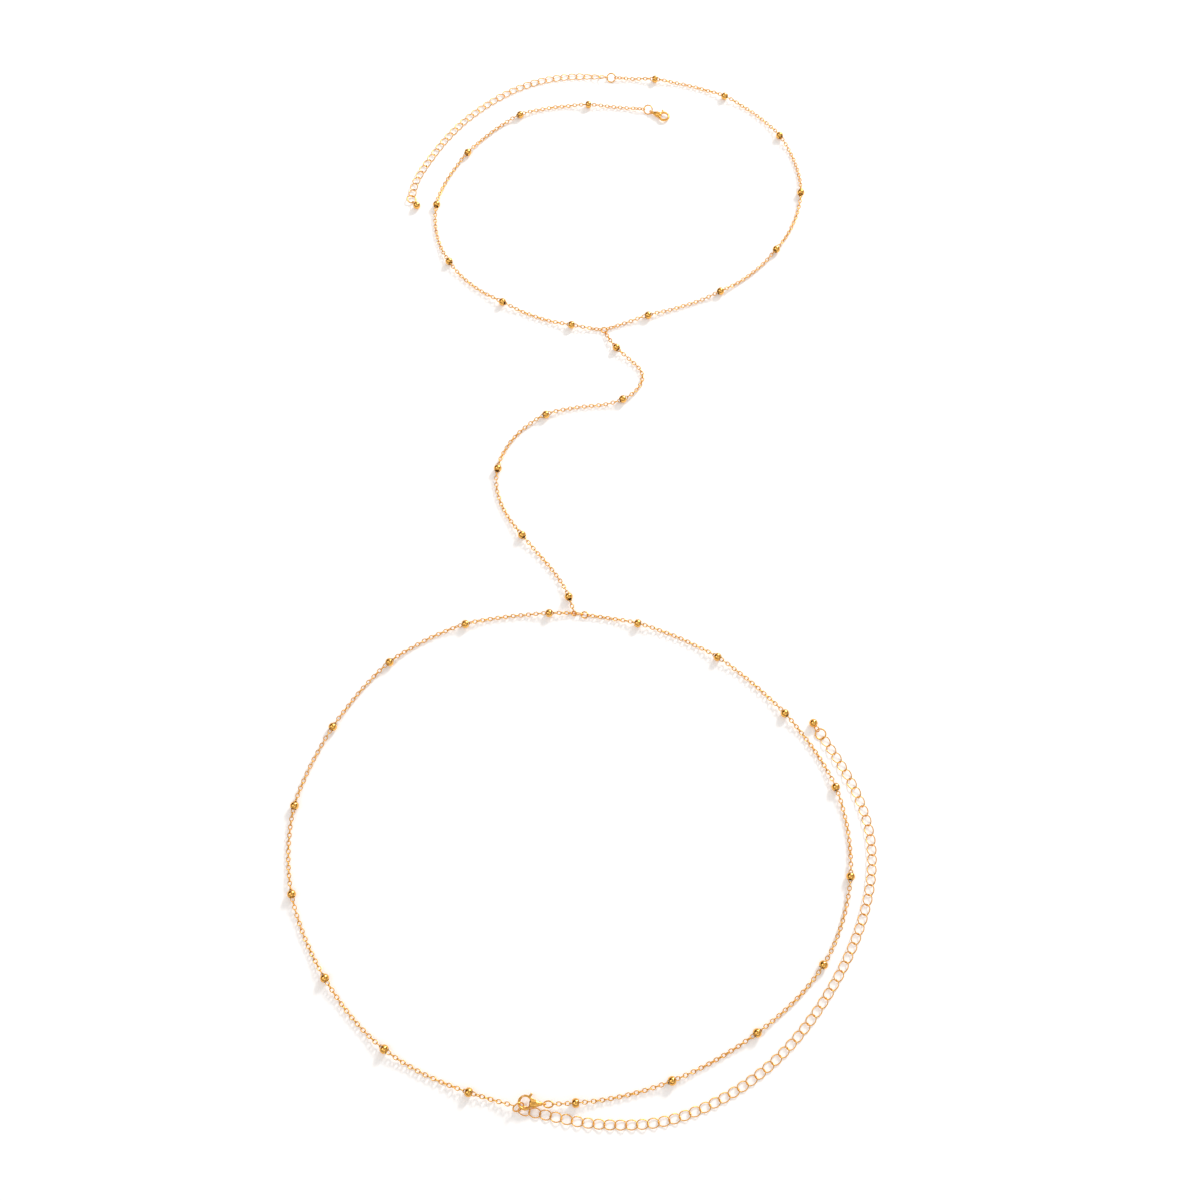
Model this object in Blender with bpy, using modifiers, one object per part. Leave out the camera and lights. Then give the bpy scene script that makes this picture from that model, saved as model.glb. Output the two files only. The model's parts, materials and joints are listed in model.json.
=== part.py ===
"""Body chain laid flat on a table: a neck chain, a drop and a fastened waist chain.

Metres, +Z up. The chain lies on z = 0 with its length along Y, the neck at +Y and the
waist at -Y. Ball beads sit at an even spacing on fine cable chain. The neck chain is
open and ends in a lobster clasp and an extender; the waist chain is fastened, and its
extender runs free beside it. The box of the whole chain is centred on the origin.
"""

import math

import bmesh
import bpy
import numpy as np
from mathutils import Euler, Matrix, Vector

MM = 0.001
LAID_LENGTH = 428.0 * MM  # from the waist loop's near side to the neck loop's far side
GRID = LAID_LENGTH / 428  # places and routes are given in squares of this grid on the table
GAP = 0.3 * MM  # clearance between pieces that would touch

# Ball beads
BEAD_D = 3.0 * MM
BEAD_BORE_D = 1.7 * MM
BEAD_SIDES = 10
BEAD_STEPS = 4  # straight steps of a bead's outline from one end to the other

# Cable chain, as the round outer form of its links
CHAIN_D = 1.0 * MM
CHAIN_REST_Z = 0.85 * MM  # height of the chain's middle where it lies between beads
CHAIN_RISE = 8.0 * MM  # length over which the chain climbs to a bead or a ring
CHAIN_STEP = 7.4 * MM  # longest straight step of a chain's line
BEAD_SEAT = 3.4 * MM  # straight run of chain through a bead

# Extender chain of larger links
EXTENDER_WIRE_D = 0.5 * MM
EXTENDER_PITCH = 3.45 * MM
EXTENDER_WIDTH = 3.6 * MM
EXTENDER_TWIST = 0.45 * MM  # how far a link's quarters rise and dip, so that links nest
EXTENDER_REST_Z = 0.75 * MM
EXTENDER_D = 1.4 * MM  # the long extender as a round form
EXTENDER_SOLDER = 0.35  # share of the wire by which neighbouring links are fused
LINK_SEGMENTS = 10
LINK_SIDES = 5

# Rings: outer diameter and wire
RING_WIRE_D = 0.5 * MM
BIG_RING_D = 4.1 * MM
SMALL_RING_D = 2.9 * MM
DROP_RING_D = 2.2 * MM
RING_SEGMENTS = 12
RING_LEAN = math.radians(35)  # how far a big ring leans up from the table

# End balls
END_BALL_D = 3.0 * MM
END_LOOP_LENGTH = 2.6 * MM
END_LOOP_WIDTH = 1.9 * MM
END_LOOP_WIRE_D = 0.4 * MM
END_LOOP_SUNK = 0.5 * MM  # how deep the loop is set in the ball
END_LOOP_LEAN = math.radians(50)

# Lobster clasp, in its own frame: X from the tail to the head, the lever on +Y
CLASP_LENGTH = 9.2 * MM
CLASP_THICK = 2.0 * MM
CLASP_EDGE = 0.3 * MM
HEAD_D = 4.4 * MM
HEAD_HOLE_D = 2.6 * MM
HEAD_THICK = 1.2 * MM
NOSE_ANGLE = math.radians(44)  # round the head to the nose's inner corner
SHANK_WIDTH = 2.5 * MM
SHANK_TAIL_WIDTH = 1.5 * MM
SHANK_LENGTH = 4.1 * MM
EYE_D = 1.9 * MM
EYE_WIRE_D = 0.5 * MM
SLOT_HEIGHT = 1.1 * MM
PIVOT_X = 3.5 * MM
PIVOT_Y = 0.35 * MM
PIN_D = 0.6 * MM
LEVER_THICK = 0.6 * MM
LEVER_WIDTH = 0.7 * MM
LEVER_HUB_D = 1.4 * MM
LEVER_BORE_D = 0.9 * MM
LEVER_HEEL_ANGLE = math.radians(140)
KNOB_D = 0.8 * MM
KNOB_ANGLE = math.radians(124)
KNOB_REACH = 0.45 * MM  # from the lever's outer edge to the knob's middle
ARC_STEP = math.radians(24)

# Where the rings and clasps lie on the table, in grid squares
NECK_DROP_RING = (7.6, 82.9)
NECK_CLASP_RING = (26.4, 194.0)
NECK_EXTENDER_RING = (10.8, 211.6)
WAIST_DROP_RING = (-3.4, -38.8)
WAIST_JOIN_RING = (0.4, -39.4)
WAIST_END_RING = (82.9, -84.6)
WAIST_CLASP_HEAD = (-17.8, -206.4)
NECK_CLASP_HEADING = math.radians(-24)
WAIST_CLASP_HEADING = math.radians(176)
NECK_BALL_TURN = math.radians(35)  # from the extender's own line to the ball
WAIST_BALL_HEADING = math.radians(122)
HOOK_RING_ANGLE = math.radians(35)  # from the clasp's line, on the side away from the lever
HOOK_RING_REACH = 2.35 * MM  # from the middle of the clasp's head to the ring's
HOOK_RING_LEAN = math.radians(60)

# Routes of the chains from ring to ring, in grid squares, chosen points only
NECK_LEFT_ROUTE = [(-6.3, 85), (-33.5, 96), (-54.5, 114.5), (-61.5, 142.5), (-49, 171.5),
                   (-26, 192), (3, 196.5)]
NECK_RIGHT_ROUTE = [(24, 89), (54.5, 101), (78, 122), (89, 150), (81, 181), (60.5, 200.5),
                    (30.5, 210.5)]
DROP_ROUTE = [(12.5, 74), (22.5, 61.5), (17, 52), (2, 48), (-14.5, 44), (-28.5, 31.5),
              (-33, 14), (-23, -7.5), (-6, -31)]
WAIST_LEFT_ROUTE = [(-11, -39), (-41.5, -43), (-69.5, -58.5), (-87.5, -82.5), (-98.5, -111.5),
                    (-96.5, -141.5), (-84, -167.5), (-64, -189.5), (-36.5, -203)]
WAIST_RIGHT_ROUTE = [(19.5, -43), (48.5, -56.5), (71, -77.5), (86.5, -103), (90, -133),
                     (79.5, -163), (56, -185.5), (28.5, -200), (-1.5, -206.5)]
NECK_EXTENDER_ROUTE = [(4.5, 212.5), (-23, 209), (-42.5, 197), (-55.5, 183.5), (-66, 166.5),
                       (-71, 154.5), (-72, 142.5)]
WAIST_EXTENDER_ROUTE = [(-14, -209.5), (-1, -212), (12, -213), (25.5, -212), (38.5, -208),
                        (62, -193.5), (80, -173), (93, -148.5), (97.5, -121), (89.5, -96)]

# Beads of each strand: distance from its first ring to the first, their spacing as laid, number
NECK_LEFT_BEADS = (13.1 * GRID, 29.8 * GRID, 7)
NECK_RIGHT_BEADS = (18.6 * GRID, 31.3 * GRID, 7)
DROP_BEADS = (9.9 * GRID, 30.6 * GRID, 6)
WAIST_LEFT_BEADS = (9.0 * GRID, 30.5 * GRID, 9)
WAIST_RIGHT_BEADS = (19.5 * GRID, 31.3 * GRID, 9)

GOLD = (0.86, 0.55, 0.19, 1.0)


def clear_scene():
    for obj in list(bpy.data.objects):
        bpy.data.objects.remove(obj, do_unlink=True)


def make_collection(name):
    collection = bpy.data.collections.new(name)
    bpy.context.scene.collection.children.link(collection)
    return collection


def make_metal(name, colour, roughness):
    metal = bpy.data.materials.new(name)
    metal.use_nodes = True
    shader = metal.node_tree.nodes["Principled BSDF"]
    shader.inputs["Base Color"].default_value = colour
    shader.inputs["Metallic"].default_value = 1.0
    shader.inputs["Roughness"].default_value = roughness
    return metal


clear_scene()
PIECES = make_collection("body_chain")
CUTTERS = make_collection("cutters")
BEAD_METAL = make_metal("bead_gold", GOLD, 0.16)
CHAIN_METAL = make_metal("chain_gold", GOLD, 0.22)
CLASP_METAL = make_metal("clasp_gold", GOLD, 0.18)


def add_piece(name, data, metal, matrix=None):
    """A named piece of the chain."""
    obj = bpy.data.objects.new(name, data)
    PIECES.objects.link(obj)
    if not data.materials:
        data.materials.append(metal)
    obj.matrix_world = matrix or Matrix()
    return obj


def as_cutter(obj):
    """Hides a shape that only cuts or joins another."""
    PIECES.objects.unlink(obj)
    CUTTERS.objects.link(obj)
    obj.hide_render = True
    obj.display_type = "WIRE"
    return obj


def combine(obj, other, operation):
    modifier = obj.modifiers.new(other.name, "BOOLEAN")
    modifier.operation = operation
    modifier.solver = "EXACT"
    modifier.object = as_cutter(other)


def placed(x, y, z, heading=0.0, lean=0.0, pitch=0.0):
    """A matrix at a place: leaned about its own X axis, pitched nose down, turned to a heading."""
    turn = Euler((lean, pitch, heading)).to_matrix().to_4x4()
    return Matrix.Translation((x, y, z)) @ turn


# Lines along the table

class Line:
    """A smooth line through a few places on the table, read by the distance along it."""

    STEP = 0.25 * MM

    def __init__(self, places):
        points = np.array(places, float) * GRID
        knots = np.concatenate([[0], np.cumsum(np.linalg.norm(np.diff(points, axis=0), axis=1))])
        bends = self.second_derivatives(points, knots)
        reads = np.linspace(0, knots[-1], int(knots[-1] / self.STEP) + 2)
        piece = np.clip(np.searchsorted(knots, reads, side="right") - 1, 0, len(points) - 2)
        width = (knots[piece + 1] - knots[piece])[:, None]
        b = (reads - knots[piece])[:, None] / width
        a = 1 - b
        self.points = (a * points[piece] + b * points[piece + 1]
                       + ((a**3 - a) * bends[piece] + (b**3 - b) * bends[piece + 1]) * width**2 / 6)
        lengths = np.linalg.norm(np.diff(self.points, axis=0), axis=1)
        self.along = np.concatenate([[0], np.cumsum(lengths)])
        self.length = self.along[-1]

    @staticmethod
    def second_derivatives(points, knots):
        """The bend at each point of a natural cubic spline."""
        gaps = np.diff(knots)
        left, right = np.eye(len(points)), np.zeros_like(points)
        for i in range(1, len(points) - 1):
            left[i, i - 1:i + 2] = gaps[i - 1], 2 * (gaps[i - 1] + gaps[i]), gaps[i]
            slopes = (points[i + 1] - points[i]) / gaps[i] - (points[i] - points[i - 1]) / gaps[i - 1]
            right[i] = 6 * slopes
        return np.linalg.solve(left, right)

    def at(self, distance):
        return np.array([np.interp(distance, self.along, self.points[:, k]) for k in (0, 1)])

    def heading(self, distance):
        step = self.at(distance + self.STEP) - self.at(distance - self.STEP)
        return math.atan2(step[1], step[0])


def rise(distance, flat):
    """1 within half the flat length, easing to 0 over the chain's rise."""
    share = np.clip(1 - (abs(distance) - flat / 2) / CHAIN_RISE, 0, 1)
    return share * share * (3 - 2 * share)


class Strand:
    """A line with beads at an even spacing, trimmed clear of the ring at each end."""

    def __init__(self, line, rest_z, trims, end_heights, beads=(0.0, 0.0, 0)):
        self.line, self.rest_z = line, rest_z
        self.start, self.end = trims[0], line.length - trims[1]
        first, spacing, number = beads
        self.beads = [first + k * spacing for k in range(number)]
        self.lifts = [(place, BEAD_D / 2, BEAD_SEAT) for place in self.beads]
        self.lifts += [(self.start, end_heights[0], 0.0), (self.end, end_heights[1], 0.0)]

    def height(self, distance):
        lift = [(top - self.rest_z) * rise(distance - place, flat) for place, top, flat in self.lifts]
        return self.rest_z + max(lift, key=abs)

    def point(self, distance):
        return Vector((*self.line.at(distance), self.height(distance)))

    def stations(self):
        """Distances for the chain's points: both ends of each bead's seat, and even steps between."""
        fixed = [self.start, self.end]
        fixed += [place + side * BEAD_SEAT / 2 for place in self.beads for side in (-1, 1)]
        fixed.sort()
        stations = [fixed[0]]
        for near, far in zip(fixed, fixed[1:]):
            steps = max(1, math.ceil((far - near) / CHAIN_STEP))
            stations += [near + (far - near) * k / steps for k in range(1, steps + 1)]
        return stations


def add_chain_form(name, strand, diameter):
    """The chain's outer form: a tube on a line of straight steps."""
    curve = bpy.data.curves.new(name, "CURVE")
    curve.dimensions = "3D"
    curve.bevel_depth = diameter / 2
    curve.bevel_resolution = 2
    curve.use_fill_caps = True
    stations = strand.stations()
    spline = curve.splines.new("POLY")
    spline.points.add(len(stations) - 1)
    for point, distance in zip(spline.points, stations):
        point.co = (*strand.point(distance), 1.0)
    return add_piece(name, curve, CHAIN_METAL)


# Beads

def bead_profile():
    """A drilled ball's outline: down the outside, then back up the bore."""
    ball, bore = BEAD_D / 2, BEAD_BORE_D / 2
    edge = math.asin(bore / ball)
    mesh = bpy.data.meshes.new("bead")
    form = bmesh.new()
    corners = []
    for k in range(BEAD_STEPS + 1):
        angle = edge + (math.pi - 2 * edge) * k / BEAD_STEPS
        corners.append(form.verts.new((ball * math.sin(angle), 0, ball * math.cos(angle))))
    for a, b in zip(corners, corners[1:] + corners[:1]):
        form.edges.new((a, b))
    form.to_mesh(mesh)
    form.free()
    return mesh


def spin(obj, sides):
    screw = obj.modifiers.new("spin", "SCREW")
    screw.steps = screw.render_steps = sides
    screw.use_merge_vertices = True
    screw.merge_threshold = 0.00001
    return screw


def add_beads(prefix, strand, profile):
    """Drilled beads on a strand, each on the straight run of chain that is its seat."""
    for number, place in enumerate(strand.beads, 1):
        ends = [strand.point(place + side * BEAD_SEAT / 2) for side in (-1, 1)]
        run = ends[1] - ends[0]
        turn = Euler((0.0, math.pi / 2, math.atan2(run.y, run.x))).to_matrix().to_4x4()
        matrix = Matrix.Translation((ends[0] + ends[1]) / 2) @ turn
        spin(add_piece(f"{prefix}_{number}", profile, BEAD_METAL, matrix), BEAD_SIDES)


# Rings and links

def ring_mesh(name, outer_d, wire_d, segments, sides):
    bpy.ops.mesh.primitive_torus_add(
        major_segments=segments, minor_segments=sides,
        major_radius=(outer_d - wire_d) / 2, minor_radius=wire_d / 2,
    )
    made = bpy.context.active_object
    mesh = made.data
    mesh.name = name
    bpy.data.objects.remove(made)
    return mesh


def add_ring(name, outer_d, matrix):
    mesh = ring_mesh(name, outer_d, RING_WIRE_D, RING_SEGMENTS, LINK_SIDES)
    mesh.shade_smooth()
    return add_piece(name, mesh, CHAIN_METAL, matrix)


def link_mesh(name, length, width, wire_d, twist):
    """A ring drawn out to an oval link, its quarters raised and dipped by the twist."""
    mesh = ring_mesh(name, length, wire_d, LINK_SEGMENTS, LINK_SIDES)
    middle = (length - wire_d) / 2
    for vertex in mesh.vertices:
        around = math.atan2(vertex.co.y, vertex.co.x)
        across = (width - wire_d) / 2 - middle
        vertex.co.y += across * math.sin(around)
        vertex.co.z += twist * math.sin(2 * around)
    return mesh


def add_links(name, strand, first, count, length, end_ring_d):
    """Soldered links along a strand; every second link is joined to the others."""
    rows = [bmesh.new(), bmesh.new()]
    for k in range(count):
        last = k == count - 1
        mesh = link_mesh("link", end_ring_d if last else length,
                         end_ring_d if last else EXTENDER_WIDTH, EXTENDER_WIRE_D,
                         0.0 if last else -EXTENDER_TWIST)
        place = first + k * EXTENDER_PITCH + (end_ring_d - length) / 2 * last
        matrix = placed(*strand.point(place), heading=strand.line.heading(place))
        mesh.transform(matrix)
        rows[k % 2].from_mesh(mesh)
        bpy.data.meshes.remove(mesh)
    pieces = []
    for suffix, row in zip(("", "_between"), rows):
        mesh = bpy.data.meshes.new(name + suffix)
        row.to_mesh(mesh)
        row.free()
        mesh.shade_smooth()
        pieces.append(add_piece(name + suffix, mesh, CHAIN_METAL))
    combine(pieces[0], pieces[1], "UNION")
    return pieces[0]


def add_end_ball(name, ring_place, ring_z, heading):
    """A ball on the table, and set in it a wire loop that reaches down round the end ring's wire."""
    tip = BIG_RING_D / 2 - RING_WIRE_D - END_LOOP_WIRE_D - GAP
    away = tip + END_LOOP_LENGTH - END_LOOP_SUNK + END_BALL_D / 2
    pitch = math.asin((END_BALL_D / 2 - ring_z) / (away - BIG_RING_R))
    matrix = placed(*metres(toward(ring_place, heading, away), END_BALL_D / 2),
                    heading + math.pi, END_LOOP_LEAN, pitch)
    mesh = bpy.data.meshes.new(name)
    form = bmesh.new()
    bmesh.ops.create_uvsphere(form, u_segments=12, v_segments=8, radius=END_BALL_D / 2)
    form.to_mesh(mesh)
    form.free()
    mesh.shade_smooth()
    ball = add_piece(name, mesh, BEAD_METAL, matrix)
    loop = link_mesh(name + "_loop", END_LOOP_LENGTH, END_LOOP_WIDTH, END_LOOP_WIRE_D, 0.0)
    reach = END_BALL_D / 2 - END_LOOP_SUNK + END_LOOP_LENGTH / 2
    combine(ball, add_piece(name + "_loop", loop, BEAD_METAL,
                            matrix @ Matrix.Translation((reach, 0, 0))), "UNION")
    return ball


# Lobster clasp

HEAD_X = CLASP_LENGTH - HEAD_D / 2


def arc(centre, radius, start, end):
    """Points round an arc from one angle to another, either way."""
    steps = max(2, math.ceil(abs(end - start) / ARC_STEP))
    angles = [start + (end - start) * k / steps for k in range(steps + 1)]
    return [(centre[0] + radius * math.cos(a), centre[1] + radius * math.sin(a)) for a in angles]


def plate(name, outlines, thickness, edge=0.0):
    """A flat plate with its outline's edges eased, as a mesh."""
    curve = bpy.data.curves.new(name, "CURVE")
    curve.dimensions = "2D"
    curve.fill_mode = "BOTH"
    curve.extrude = thickness / 2 - edge
    curve.bevel_depth = edge
    curve.bevel_resolution = 0
    curve.offset = -edge
    for outline in outlines:
        spline = curve.splines.new("POLY")
        spline.points.add(len(outline) - 1)
        for point, (x, y) in zip(spline.points, outline):
            point.co = (x, y, 0.0, 1.0)
        spline.use_cyclic_u = True
    guide = bpy.data.objects.new(name, curve)
    bpy.context.scene.collection.objects.link(guide)
    bpy.context.view_layer.update()
    mesh = bpy.data.meshes.new_from_object(guide.evaluated_get(bpy.context.evaluated_depsgraph_get()))
    bpy.data.objects.remove(guide)
    bpy.data.curves.remove(curve)
    form = bmesh.new()
    form.from_mesh(mesh)
    bmesh.ops.remove_doubles(form, verts=form.verts, dist=0.00001)
    bmesh.ops.recalc_face_normals(form, faces=form.faces)
    form.to_mesh(mesh)
    form.free()
    mesh.name = name
    return mesh


def seam(reach):
    """The seam between nose and lever: an arc round the pin, from the head's outside inward."""
    along, aside = HEAD_X - PIVOT_X, -PIVOT_Y
    span = math.hypot(along, aside)

    def round_head(radius):
        share = (reach**2 - span**2 - radius**2) / (2 * radius * span)
        return math.atan2(aside, along) + math.acos(share)

    def round_pin(radius):
        angle = round_head(radius)
        return math.atan2(aside + radius * math.sin(angle), along + radius * math.cos(angle))

    return round_head, round_pin


def nose_reach():
    """Distance from the pin to the nose's inner corner."""
    inner = HEAD_HOLE_D / 2
    return math.hypot(HEAD_X + inner * math.cos(NOSE_ANGLE) - PIVOT_X,
                      inner * math.sin(NOSE_ANGLE) - PIVOT_Y)


def hook_outline():
    """The clasp's bow: from the heel round the head to the nose, cut to the lever's swing."""
    outer, inner = HEAD_D / 2, HEAD_HOLE_D / 2
    centre, heel = (HEAD_X, 0.0), math.radians(-160)
    inner_heel = -math.pi - math.asin(outer * math.sin(heel) / inner)
    round_head, round_pin = seam(nose_reach())
    nose = arc((PIVOT_X, PIVOT_Y), nose_reach(), round_pin(outer), round_pin(inner))
    return (arc(centre, outer, heel, round_head(outer)) + nose[1:-1]
            + arc(centre, inner, NOSE_ANGLE, inner_heel))


def shank_outline():
    """The clasp's body: narrow at the tail, wide where it carries the bow and the lever."""
    tail, wide = SHANK_TAIL_WIDTH / 2, SHANK_WIDTH / 2
    start, end = EYE_D - EYE_WIRE_D, EYE_D - EYE_WIRE_D + SHANK_LENGTH
    return [(start, -tail * 0.7), (start + 0.3 * MM, -tail), (start + 0.55 * SHANK_LENGTH, -wide),
            (end, -wide * 1.05), (end, wide), (start + 0.55 * SHANK_LENGTH, wide),
            (start + 0.3 * MM, tail), (start, tail * 0.7)]


def lever_outline():
    """The lever: a hub, an arm along the clasp's side and a curved gate that meets the nose."""
    outer = HEAD_D / 2
    inner = outer - LEVER_WIDTH
    centre, pivot = (HEAD_X, 0.0), (PIVOT_X, PIVOT_Y)
    reach = nose_reach() - GAP
    round_head, round_pin = seam(reach)
    tip = arc(pivot, reach, round_pin(inner), round_pin(outer))
    knob_reach = outer + KNOB_REACH
    knob_middle = (HEAD_X + knob_reach * math.cos(KNOB_ANGLE), knob_reach * math.sin(KNOB_ANGLE))
    knob_spread = math.radians(9)
    return (arc(centre, inner, LEVER_HEEL_ANGLE, round_head(inner)) + tip[1:-1]
            + arc(centre, outer, round_head(outer), KNOB_ANGLE - knob_spread)
            + arc(knob_middle, KNOB_D / 2, KNOB_ANGLE - math.pi / 2, KNOB_ANGLE + math.pi / 2)
            + arc(centre, outer, KNOB_ANGLE + knob_spread, LEVER_HEEL_ANGLE)
            + arc(pivot, LEVER_HUB_D / 2, math.radians(105), math.radians(305)))


def circle(centre, diameter):
    return arc(centre, diameter / 2, 0.0, 2 * math.pi)[:-1]


def cylinder(name, radius, height, matrix):
    mesh = bpy.data.meshes.new(name)
    form = bmesh.new()
    bmesh.ops.create_cone(form, cap_ends=True, segments=12, radius1=radius, radius2=radius,
                          depth=height)
    form.to_mesh(mesh)
    form.free()
    return add_piece(name, mesh, CLASP_METAL, matrix)


def box(name, low, high, matrix):
    mesh = bpy.data.meshes.new(name)
    form = bmesh.new()
    bmesh.ops.create_cube(form, size=1.0)
    for vertex in form.verts:
        vertex.co = [(a + b) / 2 + (b - a) * c for a, b, c in zip(low, high, vertex.co)]
    form.to_mesh(mesh)
    form.free()
    return add_piece(name, mesh, CLASP_METAL, matrix)


def add_clasp(prefix, matrix):
    """A clasp's body with its slot and pin, and the lever that turns on the pin."""
    body = add_piece(prefix + "_body", plate("shank", [shank_outline()], CLASP_THICK, CLASP_EDGE),
                     CLASP_METAL, matrix)
    hook = plate("hook", [hook_outline()], HEAD_THICK, CLASP_EDGE * 0.8)
    combine(body, add_piece(prefix + "_hook", hook, CLASP_METAL, matrix), "UNION")
    eye = ring_mesh("eye", EYE_D, EYE_WIRE_D, RING_SEGMENTS, 6)
    upright = Matrix.Translation((EYE_D / 2, 0, 0)) @ Matrix.Rotation(math.pi / 2, 4, "X")
    combine(body, add_piece(prefix + "_eye", eye, CLASP_METAL, matrix @ upright), "UNION")
    hub_room = LEVER_HUB_D / 2 + GAP
    slot = box(prefix + "_slot", (PIVOT_X - hub_room, PIVOT_Y - hub_room, -SLOT_HEIGHT / 2),
               (HEAD_X, HEAD_D, SLOT_HEIGHT / 2), matrix)
    combine(body, slot, "DIFFERENCE")
    at_pivot = matrix @ Matrix.Translation((PIVOT_X, PIVOT_Y, 0))
    pin_height = (CLASP_THICK + SLOT_HEIGHT) / 2
    combine(body, cylinder(prefix + "_pin", PIN_D / 2, pin_height, at_pivot), "UNION")
    to_pivot = Matrix.Translation((-PIVOT_X, -PIVOT_Y, 0))
    outlines = [lever_outline(), circle((PIVOT_X, PIVOT_Y), LEVER_BORE_D)]
    lever = plate("lever", outlines, LEVER_THICK)
    lever.transform(to_pivot)
    add_piece(prefix + "_lever", lever, CLASP_METAL, at_pivot)
    return body


# The layout: where rings, clasps, strands and balls go

def metres(place, z):
    return (place[0] * GRID, place[1] * GRID, z)


def lean_height(outer_d, lean):
    """Height of a leaning ring's middle when its low side rests on the table."""
    return (outer_d - RING_WIRE_D) / 2 * math.sin(abs(lean)) + RING_WIRE_D / 2


def toward(place, heading, distance):
    """A place at a distance, in metres, along a heading from another."""
    reach = distance / GRID
    return (place[0] + reach * math.cos(heading), place[1] + reach * math.sin(heading))


BIG_RING_R = (BIG_RING_D - RING_WIRE_D) / 2
SMALL_RING_R = (SMALL_RING_D - RING_WIRE_D) / 2
BIG_RING_Z = lean_height(BIG_RING_D, RING_LEAN)
HOOK_RING_Z = lean_height(BIG_RING_D, HOOK_RING_LEAN)
FLAT_RING_Z = CHAIN_REST_Z - 0.2 * MM
BIG_TRIM = BIG_RING_D / 2 + GAP
SMALL_TRIM = SMALL_RING_D / 2 + GAP
DROP_TRIM = DROP_RING_D / 2 + GAP
EYE_X = EYE_D / 2


def build_neck(profile):
    clasp_z = CLASP_THICK / 2
    left = Strand(Line([NECK_DROP_RING] + NECK_LEFT_ROUTE + [NECK_CLASP_RING]), CHAIN_REST_Z,
                  (SMALL_TRIM, BIG_TRIM), (FLAT_RING_Z, BIG_RING_Z), NECK_LEFT_BEADS)
    right = Strand(Line([NECK_DROP_RING] + NECK_RIGHT_ROUTE + [NECK_EXTENDER_RING]), CHAIN_REST_Z,
                   (SMALL_TRIM, BIG_TRIM), (FLAT_RING_Z, BIG_RING_Z), NECK_RIGHT_BEADS)
    for side, strand in (("left", left), ("right", right)):
        add_chain_form(f"neck_chain_{side}", strand, CHAIN_D)
        add_beads(f"neck_bead_{side}", strand, profile)
    add_ring("neck_drop_ring", SMALL_RING_D, placed(*metres(NECK_DROP_RING, FLAT_RING_Z)))
    add_ring("neck_clasp_ring", BIG_RING_D,
             placed(*metres(NECK_CLASP_RING, BIG_RING_Z), NECK_CLASP_HEADING, RING_LEAN))
    eye_back = math.sqrt(BIG_RING_R**2 - ((BIG_RING_Z - clasp_z) / math.sin(RING_LEAN))**2)
    eye_aside = -(BIG_RING_Z - clasp_z) / math.tan(RING_LEAN)
    eye = toward(toward(NECK_CLASP_RING, NECK_CLASP_HEADING, eye_back),
                 NECK_CLASP_HEADING + math.pi / 2, eye_aside)
    tail = toward(eye, NECK_CLASP_HEADING, -EYE_X)
    add_clasp("neck_clasp", placed(*metres(tail, clasp_z), NECK_CLASP_HEADING))


def build_neck_extender():
    line = Line([NECK_EXTENDER_RING] + NECK_EXTENDER_ROUTE)
    heading = line.heading(BIG_RING_R)
    add_ring("neck_extender_ring", BIG_RING_D,
             placed(*metres(NECK_EXTENDER_RING, BIG_RING_Z), heading, -RING_LEAN))
    link_length = EXTENDER_PITCH + (2 - EXTENDER_SOLDER) * EXTENDER_WIRE_D
    first = BIG_RING_R - RING_WIRE_D / 2 - GAP - EXTENDER_WIRE_D + link_length / 2
    strand = Strand(line, EXTENDER_REST_Z, (first, 0.0), (BIG_RING_Z, EXTENDER_REST_Z))
    count = int((line.length - first) / EXTENDER_PITCH)
    add_links("neck_extender", strand, first, count, link_length, BIG_RING_D)
    last = first + (count - 1) * EXTENDER_PITCH + (BIG_RING_D - link_length) / 2
    add_end_ball("neck_end_ball", line.at(last) / GRID, EXTENDER_REST_Z,
                 line.heading(last) + NECK_BALL_TURN)


def build_drop(profile):
    strand = Strand(Line([NECK_DROP_RING] + DROP_ROUTE + [WAIST_DROP_RING]), CHAIN_REST_Z,
                    (SMALL_TRIM, DROP_TRIM), (FLAT_RING_Z, FLAT_RING_Z), DROP_BEADS)
    add_chain_form("drop_chain", strand, CHAIN_D)
    add_beads("drop_bead", strand, profile)
    add_ring("waist_drop_ring", DROP_RING_D, placed(*metres(WAIST_DROP_RING, FLAT_RING_Z)))
    add_ring("waist_join_ring", SMALL_RING_D, placed(*metres(WAIST_JOIN_RING, FLAT_RING_Z)))
    run = Vector(WAIST_JOIN_RING) - Vector(WAIST_DROP_RING)
    span = run.length * GRID - (DROP_RING_D + SMALL_RING_D) / 2 + 2 * RING_WIRE_D
    length = span + 2 * (END_LOOP_WIRE_D + GAP)
    middle_reach = DROP_RING_D / 2 - RING_WIRE_D + span / 2
    heading = math.atan2(run.y, run.x)
    middle = toward(WAIST_DROP_RING, heading, middle_reach)
    mesh = link_mesh("waist_join_link", length, END_LOOP_WIDTH, END_LOOP_WIRE_D, 0.0)
    mesh.shade_smooth()
    join_z = END_LOOP_WIDTH / 2
    add_piece("waist_join_link", mesh, CHAIN_METAL,
              placed(*metres(middle, join_z), heading, math.pi / 2))


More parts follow.
